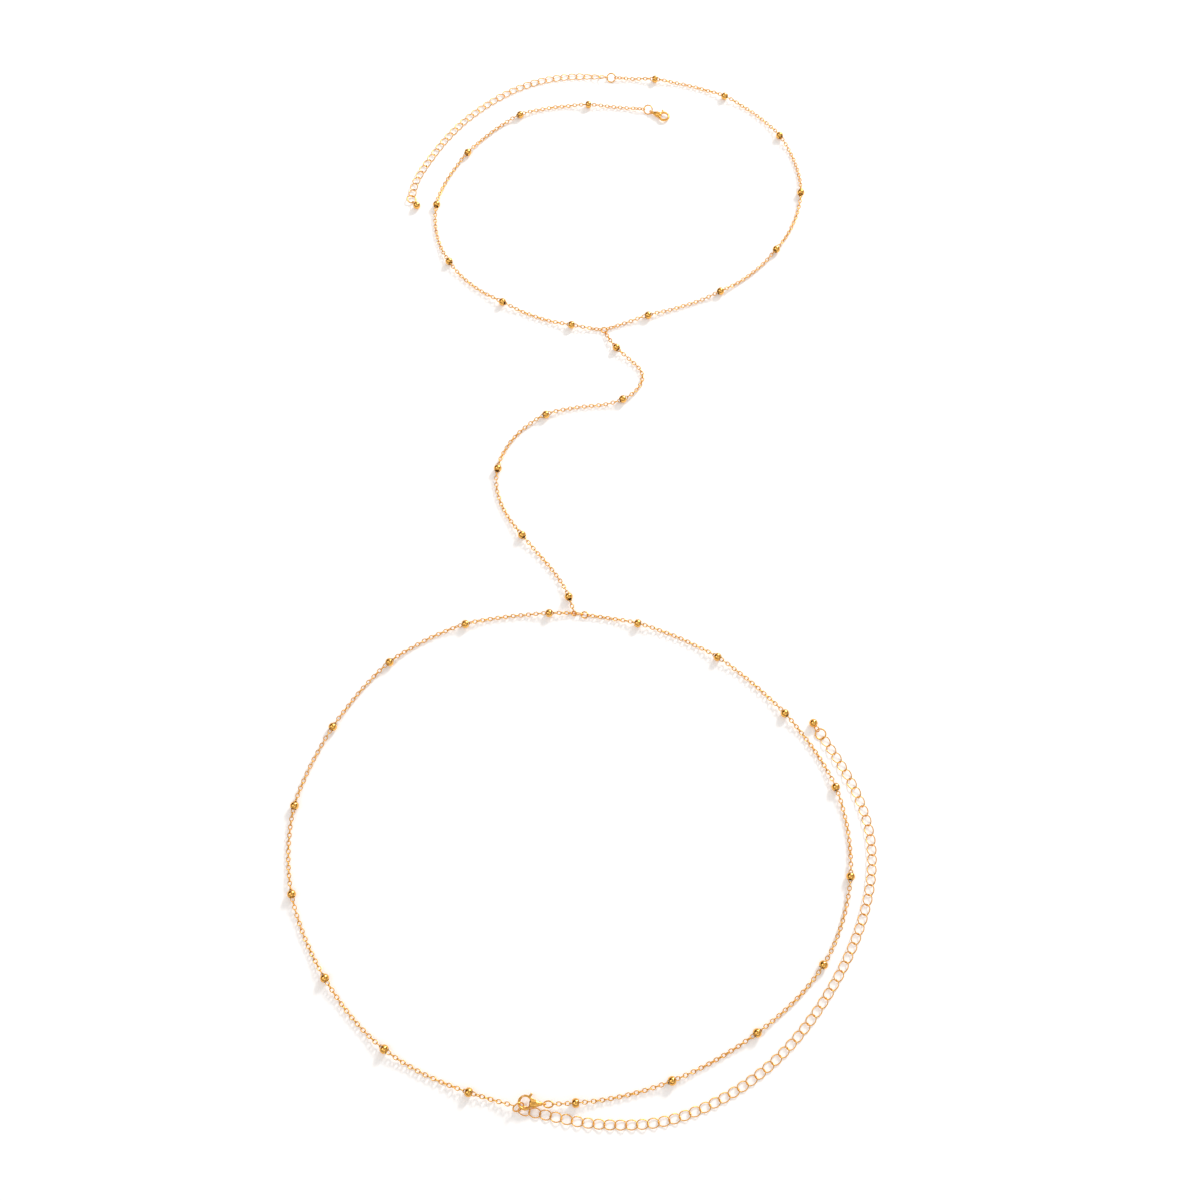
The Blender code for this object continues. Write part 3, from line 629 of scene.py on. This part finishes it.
link_path = ring_path(CABLE_SEGMENTS, (CABLE_LENGTH - CABLE_WIRE) / 2,
                      (CABLE_WIDTH - CABLE_WIRE) / 2)
cable_link = sweep(link_path, CABLE_SIDES, CABLE_WIRE / 2)


def add_cable(name):
    """An odd number of links, so that both ends stand upright round their rings."""
    starts = [RING_D[ring] / 2 - RING_WIRE - CABLE_WIRE - LINK_GAP for ring in ENDS[name]]
    first = starts[0] + CABLE_LENGTH / 2
    last = LINES[name].length - starts[1] - CABLE_LENGTH / 2
    count = int(round((last - first) / CABLE_PITCH / 2)) * 2 + 1
    stations = np.linspace(first, last, count)
    rolls = np.where(np.arange(count) % 2 == 0, math.pi / 2, 0.0)
    rolls[1:-1] += random.normal(0, LINK_WOBBLE, count - 2)
    rolls += slow_roll(name, stations)
    links = copies(cable_link, link_turns(name, stations, rolls),
                   np.array([strand_point(name, s) for s in stations]))
    node = {"drop": "drop_chain"}.get(name) or name.replace("_", "_chain_")
    add_piece(node + "_links", mesh_of(node + "_links", links, link_gold), [node])
    print(name, "links", count, "pitch mm", round((last - first) / (count - 1) / MM, 3))


for name in LINES:
    add_cable(name)

# %% [markdown]
# ## Drilled beads
#
# The beads are bright balls with a hole drilled through for the chain. From above only a
# dark crescent of the hole shows at each end, and it is what makes the ball read as a bead.
# The inside of the hole is painted nearly black gold, as painted shade.
# A ball's outline turned about the hole, with a small rounded lip, is closest to how a bead
# is turned on a lathe.

# %% Beads
BORE_D, LIP, LIP_STEPS = 1.85 * MM, 0.08 * MM, 2
BALL_STEPS, BEAD_AROUND = 16, 32


def bead_mesh():
    """A ball with a hole along X; the inside of the hole is painted dark, as painted shade."""
    ball, bore = BEAD_D / 2, BORE_D / 2
    edge = math.asin((bore + LIP) / ball)
    angles = np.linspace(edge, math.pi - edge, BALL_STEPS + 1)
    outline = [(ball * math.sin(a), ball * math.cos(a)) for a in angles]
    mouth = ball * math.cos(edge)
    lip = [(bore + LIP * (1 - math.sin(a)), mouth - LIP * (1 - math.cos(a)))
           for a in np.linspace(math.pi / 6, math.pi / 2, LIP_STEPS + 1)]
    inside = [(r, -h) for r, h in lip] + [(r, h) for r, h in reversed(lip)]
    profile = outline + inside
    around = BEAD_AROUND
    turn = np.arange(around) * 2 * math.pi / around
    vertices = np.array([(h, r * math.cos(t), r * math.sin(t)) for r, h in profile for t in turn])
    faces, count = [], len(profile)
    for i in range(count):
        for k in range(around):
            j, m = (i + 1) % count, (k + 1) % around
            faces.append((i * around + k, i * around + m, j * around + m, j * around + k))
    mesh = mesh_of("bead", (vertices, faces), bead_gold)
    mesh.materials.append(bore_painted_shade)
    # The rounds inside the hole take the second material, the painted shade.
    inner_rounds = range(len(outline) + LIP_STEPS, count - 1)
    for face in mesh.polygons:
        face.material_index = int(face.index // around in inner_rounds)
    return mesh


shared_bead = bead_mesh()
for name in LINES:
    for number, place in enumerate(bead_places(name), 1):
        node = f"{BEAD_NODES[name]}_{number}"
        ends = [strand_point(name, place + side * SEAT / 2) for side in (-1, 1)]
        way = Vector(ends[1] - ends[0]).to_track_quat("X", "Z").to_matrix().to_4x4()
        add_piece(node + "_drilled", shared_bead, [node],
                  matrix=Matrix.Translation(middle(node)) @ way)
print("beads", sum(BEADS[name][2] for name in BEADS))

# %% [markdown]
# ## Jump rings
#
# The strands meet at jump rings: round wire bent into a circle, with a fine cut where it
# was closed. Some lie flat, and others lean on the links that they hold. The waist clasp's
# own ring is pulled a little oval. Each is an open sweep that stops a hair short of a full
# turn, so the cut is real.

# %% Rings
CUT = 0.05 * MM
SQUEEZED = {"waist_clasp_ring": 0.65}
RING_SEGMENTS, RING_SIDES = 44, 12


def turned(place, heading, lean=0.0, pitch=0.0):
    """A matrix at a place: leaned about its own X axis, pitched nose down, then turned."""
    turn = Euler((lean, pitch, heading)).to_matrix().to_4x4()
    return Matrix.Translation(Vector(place)) @ turn


def cut_ring(outer, wire, cut_angle, squeeze=1.0):
    """A wire ring with a fine cut at one angle, squeezed across where it is oval."""
    radius = (outer - wire) / 2
    half = CUT / 2 / radius
    t = np.linspace(cut_angle + half, cut_angle + 2 * math.pi - half, RING_SEGMENTS)
    path = np.stack([radius * np.cos(t), squeeze * radius * np.sin(t), 0 * t], 1)
    return sweep(path, RING_SIDES, wire / 2, closed=False)


def heading_of(line, distance):
    """The angle on the table at which a line runs."""
    way = line.way(distance)
    return math.atan2(way[1], way[0])


NECK_CLASP_HEADING = math.radians(-24)
WAIST_CLASP_HEADING = math.radians(176)
HOOK_RING_HEADING = WAIST_CLASP_HEADING + math.radians(35) + math.pi
HOOK_RING_LEAN, END_RING_LEAN, END_RING_CUT = 60, -14, 250
BIG_RING_R = (RING_D["neck_extender_ring"] - RING_WIRE) / 2
neck_line = Line([RINGS["neck_extender_ring"]] + [on_table(p) for p in ROUTES["neck_extender"]])
# For each ring, in degrees: its heading, its lean and where its cut is.
RING_LIES = {
    "neck_drop_ring": (0, 0, 200),
    "waist_drop_ring": (0, 0, 150),
    "waist_join_ring": (0, 0, 70),
    "waist_clasp_ring": (0, 0, 60),
    "waist_end_ring": (150, END_RING_LEAN, END_RING_CUT),
    "neck_clasp_ring": (math.degrees(NECK_CLASP_HEADING), 35, 250),
    "waist_hook_ring": (math.degrees(HOOK_RING_HEADING), HOOK_RING_LEAN, 100),
    "neck_extender_ring": (math.degrees(heading_of(neck_line, BIG_RING_R)), -35, 250),
}
for node, (heading, lean, cut) in RING_LIES.items():
    wire = cut_ring(RING_D[node], RING_WIRE, math.radians(cut), SQUEEZED.get(node, 1.0))
    lie = turned((*RINGS[node], middle(node).z), math.radians(heading), math.radians(lean))
    add_piece(node + "_wire", mesh_of(node + "_wire", wire, link_gold), [node],
              matrix=lie)
print("rings", len(RING_LIES))

# %% [markdown]
# ## The joining link
#
# One link stands on edge and holds the drop's ring to the waist's. Its length and height
# are read from the model's box of it.

# %% The link that joins the two small waist rings
JOIN_WIRE, JOIN_SEGMENTS, JOIN_SIDES = 0.4 * MM, 24, 10
low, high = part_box("waist_join_link")
run = RINGS["waist_join_ring"] - RINGS["waist_drop_ring"]
join_heading = math.atan2(run[1], run[0])
join_length = (high.x - low.x) / math.cos(join_heading)
join_path = ring_path(JOIN_SEGMENTS, (join_length - JOIN_WIRE) / 2,
                      (high.z - low.z - JOIN_WIRE) / 2)
join_part = sweep(join_path, JOIN_SIDES, JOIN_WIRE / 2)
add_piece("waist_join_link_wire", mesh_of("waist_join_link_wire", join_part, link_gold),
          ["waist_join_link"],
          matrix=turned(middle("waist_join_link"), join_heading, math.pi / 2))
print("join link mm", round(join_length / MM, 2))

# %% [markdown]
# ## Extender chains
#
# An extender is a row of larger links that the clasp can hook at any point. Its links all
# lie flat the same way, which plain rings can't do when linked. Each one is twisted: its
# quarters rise and dip in turn, so each end dives through its neighbour. The first links
# roll up a little to catch the ring that they hang from.

# %% Extender links
EXTENDER_LENGTH, EXTENDER_WIDTH, EXTENDER_WIRE = 4.16 * MM, 3.3 * MM, 0.36 * MM
EXTENDER_TWIST, EXTENDER_Z, EXTENDER_PITCH = 0.31 * MM, 0.62 * MM, 3.42 * MM
EXTENDER_SEGMENTS, EXTENDER_SIDES, EXTENDER_RISE = 26, 8, 9 * MM
EXTENDER_WOBBLE = math.radians(2.5)
FIRST_ROLLS = [0.55, 0.3, 0.1]
HALF_LINK = (EXTENDER_LENGTH - EXTENDER_WIRE) / 2
HOLD = RING_WIRE / 2 + EXTENDER_WIRE / 2 + LINK_GAP

twisted_path = ring_path(EXTENDER_SEGMENTS, HALF_LINK, (EXTENDER_WIDTH - EXTENDER_WIRE) / 2,
                         -EXTENDER_TWIST)
extender_link = sweep(twisted_path, EXTENDER_SIDES, EXTENDER_WIRE / 2)


def extender_parts(line, first, last, start_z):
    """Twisted links from one distance to another along a line."""
    count = int(math.ceil((last - first) / EXTENDER_PITCH)) + 1
    stations = np.linspace(first, last, count)
    rolls = random.normal(0, EXTENDER_WOBBLE, count)
    rolls[:len(FIRST_ROLLS)] += FIRST_ROLLS

    def point(distance):
        lift = (start_z - EXTENDER_Z) * ease(1 - distance / EXTENDER_RISE)
        return np.array([*line.at(distance), EXTENDER_Z + lift])

    turns = []
    for distance, roll in zip(stations, rolls):
        way = unit(point(distance + HALF_LINK) - point(distance - HALF_LINK))
        side = unit(np.cross((0, 0, 1), way))
        across = side * math.cos(roll) + np.cross(way, side) * math.sin(roll)
        turns.append(np.stack([way, across, np.cross(way, across)], 1))
    places = np.array([point(s) for s in stations])
    return copies(extender_link, np.array(turns), places), count


print("points in one extender link", len(extender_link[0]))

# %% The neck's extender, with its end ring
# The model has thicker links at a pitch of its own, and its sums tell where the end ring lies.
MODEL_PITCH, MODEL_WIRE, MODEL_GAP = 3.45 * MM, 0.5 * MM, 0.3 * MM
MODEL_LINK = MODEL_PITCH + 1.65 * MODEL_WIRE
END_RING_Z = 0.75 * MM

model_first = BIG_RING_R - RING_WIRE / 2 - MODEL_GAP - MODEL_WIRE + MODEL_LINK / 2
model_count = int((neck_line.length - model_first) / MODEL_PITCH)
model_last = model_first + (model_count - 1) * MODEL_PITCH
end_place = model_last + (RING_D["waist_end_ring"] - MODEL_LINK) / 2
neck_links, neck_count = extender_parts(
    neck_line, BIG_RING_R - HOLD + HALF_LINK, end_place - BIG_RING_R + HOLD - HALF_LINK,
    middle("neck_extender_ring").z)
end_point = Vector((*neck_line.at(end_place), END_RING_Z))
end_turn = turned(end_point, heading_of(neck_line, end_place), math.radians(END_RING_LEAN))
end_ring = cut_ring(RING_D["waist_end_ring"], RING_WIRE, math.radians(END_RING_CUT))
end_ring = (np.array([end_turn @ Vector(v) for v in end_ring[0]]), end_ring[1])
neck_part = join([neck_links, end_ring])
add_piece("neck_extender_links", mesh_of("neck_extender_links", neck_part, link_gold),
          ["neck_extender"])
print("neck extender links", neck_count)

# %% The waist's extender, from the low side of the ring in the hook
WAIST_START_Z = 1.2 * MM

hook_low_way = HOOK_RING_HEADING - math.pi / 2
hook_low_reach = BIG_RING_R * math.cos(math.radians(HOOK_RING_LEAN)) + RING_WIRE / 2
hook_low = RINGS["waist_hook_ring"] + hook_low_reach * np.array(
    [math.cos(hook_low_way), math.sin(hook_low_way)])
waist_line = strand_line("waist_extender", hook_low, RINGS["waist_end_ring"])
waist_links, waist_count = extender_parts(
    waist_line, -RING_WIRE / 2 - HOLD + HALF_LINK,
    waist_line.length - BIG_RING_R + HOLD - HALF_LINK, WAIST_START_Z)
add_piece("waist_extender_links", mesh_of("waist_extender_links", waist_links, link_gold),
          ["waist_extender"])
print("waist extender links", waist_count)

# %% [markdown]
# ## End balls
#
# A plain ball weighs the end of each extender and keeps it from slipping back through the
# clasp. A wire loop is soldered into it, with a small foot of solder where they meet.

# %% End balls
LOOP_LENGTH, LOOP_WIDTH, LOOP_WIRE = 2.6 * MM, 1.9 * MM, 0.4 * MM
LOOP_SUNK, LOOP_SLACK = 0.5 * MM, 0.3 * MM
BALL_D, LOOP_LEAN = 3.0 * MM, math.radians(50)
# The foot of solder: its radius, and how far out it is as a share of the ball's radius.
FOOT = [(0.62 * MM, 0.93), (0.45 * MM, 1.02), (0.12 * MM, 1.06)]
WAIST_BALL_HEADING = math.radians(122)
NECK_BALL_TURN = math.radians(35)


def end_ball_part():
    """A ball, its foot of solder and its loop; X points from the ball through the loop."""
    r = BALL_D / 2
    outline = [(r * math.sin(a), -r * math.cos(a)) for a in np.linspace(0.02, 2.6, 20)]
    outline += [(radius, r * out) for radius, out in FOOT]
    around = 36
    turn = np.arange(around) * 2 * math.pi / around
    vertices = np.array([(h, q * math.cos(t), q * math.sin(t)) for q, h in outline for t in turn])
    faces = [(i * around + k, i * around + (k + 1) % around, (i + 1) * around + (k + 1) % around,
              (i + 1) * around + k) for i in range(len(outline) - 1) for k in range(around)]
    faces.append(tuple(reversed(range(around))))
    faces.append(tuple((len(outline) - 1) * around + k for k in range(around)))
    loop = sweep(ring_path(24, (LOOP_LENGTH - LOOP_WIRE) / 2, (LOOP_WIDTH - LOOP_WIRE) / 2), 10,
                 LOOP_WIRE / 2)
    loop = (loop[0] + (r - LOOP_SUNK + LOOP_LENGTH / 2, 0, 0), loop[1])
    return join([(vertices, faces), loop])


def add_end_ball(node, ring_place, heading):
    """A ball that lies on the table, its loop tipped down to the ring that it hangs from."""
    tip = RING_D["waist_end_ring"] / 2 - RING_WIRE - LOOP_WIRE - LOOP_SLACK
    away = tip + LOOP_LENGTH - LOOP_SUNK + BALL_D / 2
    pitch = math.asin((BALL_D / 2 - END_RING_Z) / (away - BIG_RING_R))
    place = (ring_place[0] + away * math.cos(heading), ring_place[1] + away * math.sin(heading),
             BALL_D / 2)
    add_piece(node + "_and_loop", mesh_of(node + "_and_loop", end_ball_part(), bead_gold), [node],
              matrix=turned(place, heading + math.pi, LOOP_LEAN, pitch))


add_end_ball("neck_end_ball", end_point, heading_of(neck_line, end_place) + NECK_BALL_TURN)
add_end_ball("waist_end_ball", RINGS["waist_end_ring"], WAIST_BALL_HEADING)

# %% [markdown]
# ## Lobster clasps
#
# A lobster clasp has three parts: a cast body that tapers to an eye for the ring, a round
# hook at its head, and a small lever on a pin that closes the hook. The body and hook are
# swept ovals that swell and taper, joined into one casting by Boolean unions, with a slot
# sawn for the lever.

# %% Clasp sizes, in the clasp's own frame: X from the eye to the head, lever on +Y
CLASP_LENGTH, CLASP_THICK = 9.2 * MM, 2.0 * MM
HEAD_D, HEAD_HOLE_D, HEAD_THICK = 4.8 * MM, 3.0 * MM, 1.2 * MM
HEAD_X, HEAD_R = CLASP_LENGTH - HEAD_D / 2, (HEAD_D + HEAD_HOLE_D) / 4
NOSE_ANGLE, HEEL_ANGLE = math.radians(44), math.radians(-196)
EYE_D, EYE_WIRE = 1.9 * MM, 0.5 * MM
PIVOT, PIN_R = (3.5 * MM, 0.35 * MM), 0.3 * MM
SLOT, SEAM = 1.1 * MM, 0.08 * MM
SLOT_LOW = (2.5 * MM, -0.65 * MM, -SLOT / 2)
SLOT_HIGH = (HEAD_X - 1.32 * MM, HEAD_D, SLOT / 2)
BODY_START, BODY_RUN, BODY_ASIDE = 1.25 * MM, 4.2 * MM, -0.05 * MM
NOSE_REACH = math.dist(PIVOT, (HEAD_X + HEAD_HOLE_D / 2 * math.cos(NOSE_ANGLE),
                               HEAD_HOLE_D / 2 * math.sin(NOSE_ANGLE)))
print("hinge to nose mm", round(NOSE_REACH / MM, 2))


# %% Forms of the casting
def taper(share, stops):
    """A size read from (share, size) stops, eased between them."""
    shares, sizes = zip(*stops)
    k = np.clip(np.searchsorted(shares, share, side="right") - 1, 0, len(shares) - 2)
    low, high = np.array(shares)[k], np.array(shares)[k + 1]
    return np.array(sizes)[k] + ease((share - low) / (high - low)) * np.diff(sizes)[k]


def seam_angle(radius, reach):
    """Where a circle round the head meets the arc that the lever's tip swings on."""
    along, aside = HEAD_X - PIVOT[0], -PIVOT[1]
    span = math.hypot(along, aside)
    turn = np.arccos((reach**2 - span**2 - radius**2) / (2 * radius * span))
    return math.atan2(aside, along) + turn


def hook_part():
    """An oval bar from the body's end round to a nose that is cut to the lever's swing."""
    share, sides = np.linspace(0, 1, 44)[:, None], 16
    turn = np.arange(sides) * 2 * math.pi / sides
    size = taper(share, [(0, 0.75), (0.12, 1), (0.94, 1), (1, 0.8)])
    radius = HEAD_R + size * (HEAD_D - HEAD_HOLE_D) / 4 * np.cos(turn)
    angle = HEEL_ANGLE + (seam_angle(radius, NOSE_REACH) - HEEL_ANGLE) * share
    vertices = np.stack([HEAD_X + radius * np.cos(angle), radius * np.sin(angle),
                         size * HEAD_THICK / 2 * np.sin(turn)], 2).reshape(-1, 3)
    return vertices, tube_faces(len(share), sides, False)


def body_part():
    """The tapered body behind the hook."""
    share = np.linspace(0, 1, 24)
    path = np.stack([BODY_START + BODY_RUN * share, BODY_ASIDE + 0 * share, 0 * share], 1)
    across = taper(share, [(0, 0.3), (0.1, 0.62), (0.6, 1.28), (0.9, 1.32), (1, 0.95)]) * MM
    up = taper(share, [(0, 0.3), (0.1, 0.6), (0.6, 0.98), (0.9, 0.98), (1, 0.72)]) * MM
    return sweep(path, 24, across, up, closed=False)


def helper_object(name, part=None, mesh=None):
    """An object that only lives until the pieces of a casting are joined."""
    mesh = mesh or mesh_of(name, part, clasp_gold)
    obj = bpy.data.objects.new(name, mesh)
    bpy.context.scene.collection.objects.link(obj)
    return obj


def solid_cylinder(name, radius, depth, place, segments=24):
    mesh = bpy.data.meshes.new(name)
    form = bmesh.new()
    bmesh.ops.create_cone(form, cap_ends=True, segments=segments, radius1=radius, radius2=radius,
                          depth=depth, matrix=Matrix.Translation(place))
    form.to_mesh(mesh)
    form.free()
    mesh.materials.append(clasp_gold)
    return helper_object(name, mesh=mesh)


def combine(base, steps):
    """Applies Boolean steps to an object and returns the mesh; the helpers are removed."""
    for other, operation in steps:
        modifier = base.modifiers.new(other.name, "BOOLEAN")
        modifier.solver, modifier.operation, modifier.object = "EXACT", operation, other
    bpy.context.view_layer.update()
    made = bpy.data.meshes.new_from_object(
        base.evaluated_get(bpy.context.evaluated_depsgraph_get()))
    for obj in [base] + [other for other, _ in steps]:
        bpy.data.objects.remove(obj)
    return made


def slot_box():
    """The block of air that the lever's slot takes out of the casting."""
    mesh = bpy.data.meshes.new("slot")
    form = bmesh.new()
    bmesh.ops.create_cube(form, size=1.0)
    for vertex in form.verts:
        vertex.co = [(a + b) / 2 + (b - a) * c for a, b, c in zip(SLOT_LOW, SLOT_HIGH, vertex.co)]
    form.to_mesh(mesh)
    form.free()
    return helper_object("slot", mesh=mesh)


def clasp_body_mesh():
    """Body, hook, eye and pin as one casting, with the slot cut through."""
    eye = sweep(ring_path(28, (EYE_D - EYE_WIRE) / 2, (EYE_D - EYE_WIRE) / 2), 12, EYE_WIRE / 2)
    eye = (eye[0][:, [0, 2, 1]] * (1, -1, 1) + (EYE_D / 2, 0, 0), eye[1])
    steps = [(helper_object("hook", hook_part()), "UNION"), (helper_object("eye", eye), "UNION"),
             (slot_box(), "DIFFERENCE"),
             (solid_cylinder("pin", PIN_R, CLASP_THICK, (*PIVOT, 0)), "UNION")]
    mesh = combine(helper_object("clasp", body_part()), steps)
    mesh.name = "clasp_casting"
    mesh.set_sharp_from_angle(angle=math.radians(40))
    return mesh


clasp_casting = clasp_body_mesh()
print("clasp casting faces", len(clasp_casting.polygons))

# %% [markdown]
# ## The lever
#
# The lever is a flat plate, as it is punched from sheet, with its edges eased and a finger
# tab on the outside. It is drawn as a curve of arcs with a hole for the pin. Its origin is
# at the hinge, so that it turns where the model turns it, and its tip ends on an arc round
# the hinge, a hair short of the hook's nose. The bevel leaves some points on top of each
# other, and these are welded.

# %% Lever
LEVER_THICK, LEVER_WIDTH, LEVER_EDGE = 0.7 * MM, 0.7 * MM, 0.14 * MM
LEVER_HEEL, TAB_ANGLE, TAB_SPREAD = math.radians(140), math.radians(124), math.radians(9)
TAB_D, TAB_REACH, HUB_D, HUB_BORE = 0.75 * MM, 0.75 * MM, 1.4 * MM, 0.9 * MM
HUB_ANGLES = math.radians(105), math.radians(305)
WELD = 0.004 * MM


def arc(centre, radius, start, end, step=math.radians(6)):
    """Points round part of a circle."""
    steps = max(4, math.ceil(abs(end - start) / step))
    angles = [start + (end - start) * k / steps for k in range(steps + 1)]
    return [(centre[0] + radius * math.cos(a), centre[1] + radius * math.sin(a)) for a in angles]


def around_head(radius, angle):
    """A point at a radius and an angle round the head's middle."""
    return (HEAD_X + radius * math.cos(angle), radius * math.sin(angle))


def lever_mesh():
    """The plate, with the hinge at its origin."""
    outer, inner, head = HEAD_D / 2, HEAD_D / 2 - LEVER_WIDTH, (HEAD_X, 0.0)
    reach = NOSE_REACH - SEAM
    ends = [seam_angle(r, reach) for r in (inner, outer)]
    corners = [around_head(r, a) for r, a in zip((inner, outer), ends)]
    turns = [math.atan2(y - PIVOT[1], x - PIVOT[0]) for x, y in corners]
    tab = arc(around_head(outer + TAB_REACH, TAB_ANGLE), TAB_D / 2, TAB_ANGLE - math.pi / 2,
              TAB_ANGLE + math.pi / 2)
    outline = (arc(head, inner, LEVER_HEEL, ends[0]) + arc(PIVOT, reach, *turns)[1:-1]
               + arc(head, outer, ends[1], TAB_ANGLE - TAB_SPREAD) + tab
               + arc(head, outer, TAB_ANGLE + TAB_SPREAD, LEVER_HEEL)
               + arc(PIVOT, HUB_D / 2, *HUB_ANGLES))
    curve = bpy.data.curves.new("lever", "CURVE")
    curve.dimensions, curve.fill_mode = "2D", "BOTH"
    curve.extrude, curve.bevel_depth = LEVER_THICK / 2 - LEVER_EDGE, LEVER_EDGE
    curve.bevel_resolution, curve.offset = 2, -LEVER_EDGE
    for points in (outline, arc(PIVOT, HUB_BORE / 2, 0, 2 * math.pi)[:-1]):
        spline = curve.splines.new("POLY")
        spline.points.add(len(points) - 1)
        for point, (x, y) in zip(spline.points, points):
            point.co = (x - PIVOT[0], y - PIVOT[1], 0, 1)
        spline.use_cyclic_u = True
    guide = bpy.data.objects.new("lever", curve)
    bpy.context.scene.collection.objects.link(guide)
    mesh = combine(guide, [])
    bpy.data.curves.remove(curve)
    form = bmesh.new()
    form.from_mesh(mesh)
    bmesh.ops.remove_doubles(form, verts=form.verts, dist=WELD)
    form.to_mesh(mesh)
    form.free()
    mesh.name = "clasp_lever_plate"
    mesh.materials.append(clasp_gold)
    mesh.shade_smooth()
    mesh.set_sharp_from_angle(angle=math.radians(35))
    return mesh


lever_plate = lever_mesh()
print("lever faces", len(lever_plate.polygons))

# %% Both clasps in place
CLASP_LIES = {"neck_clasp": (NECK_CLASP_HEADING, 0.0),
              "waist_clasp": (WAIST_CLASP_HEADING, math.pi)}
for name, (heading, lean) in CLASP_LIES.items():
    pivot = next(Vector(j["pos_m"]) for j in frame["joints"] if j["child"] == name + "_lever")
    at_pivot = turned(pivot, heading, lean)
    add_piece(name + "_lever_plate", lever_plate, [name + "_lever"], name + "_lever",
              at_pivot)
    add_piece(name + "_casting", clasp_casting, [name + "_body"],
              matrix=at_pivot @ Matrix.Translation((-PIVOT[0], -PIVOT[1], 0)))
print("clasps", list(CLASP_LIES))
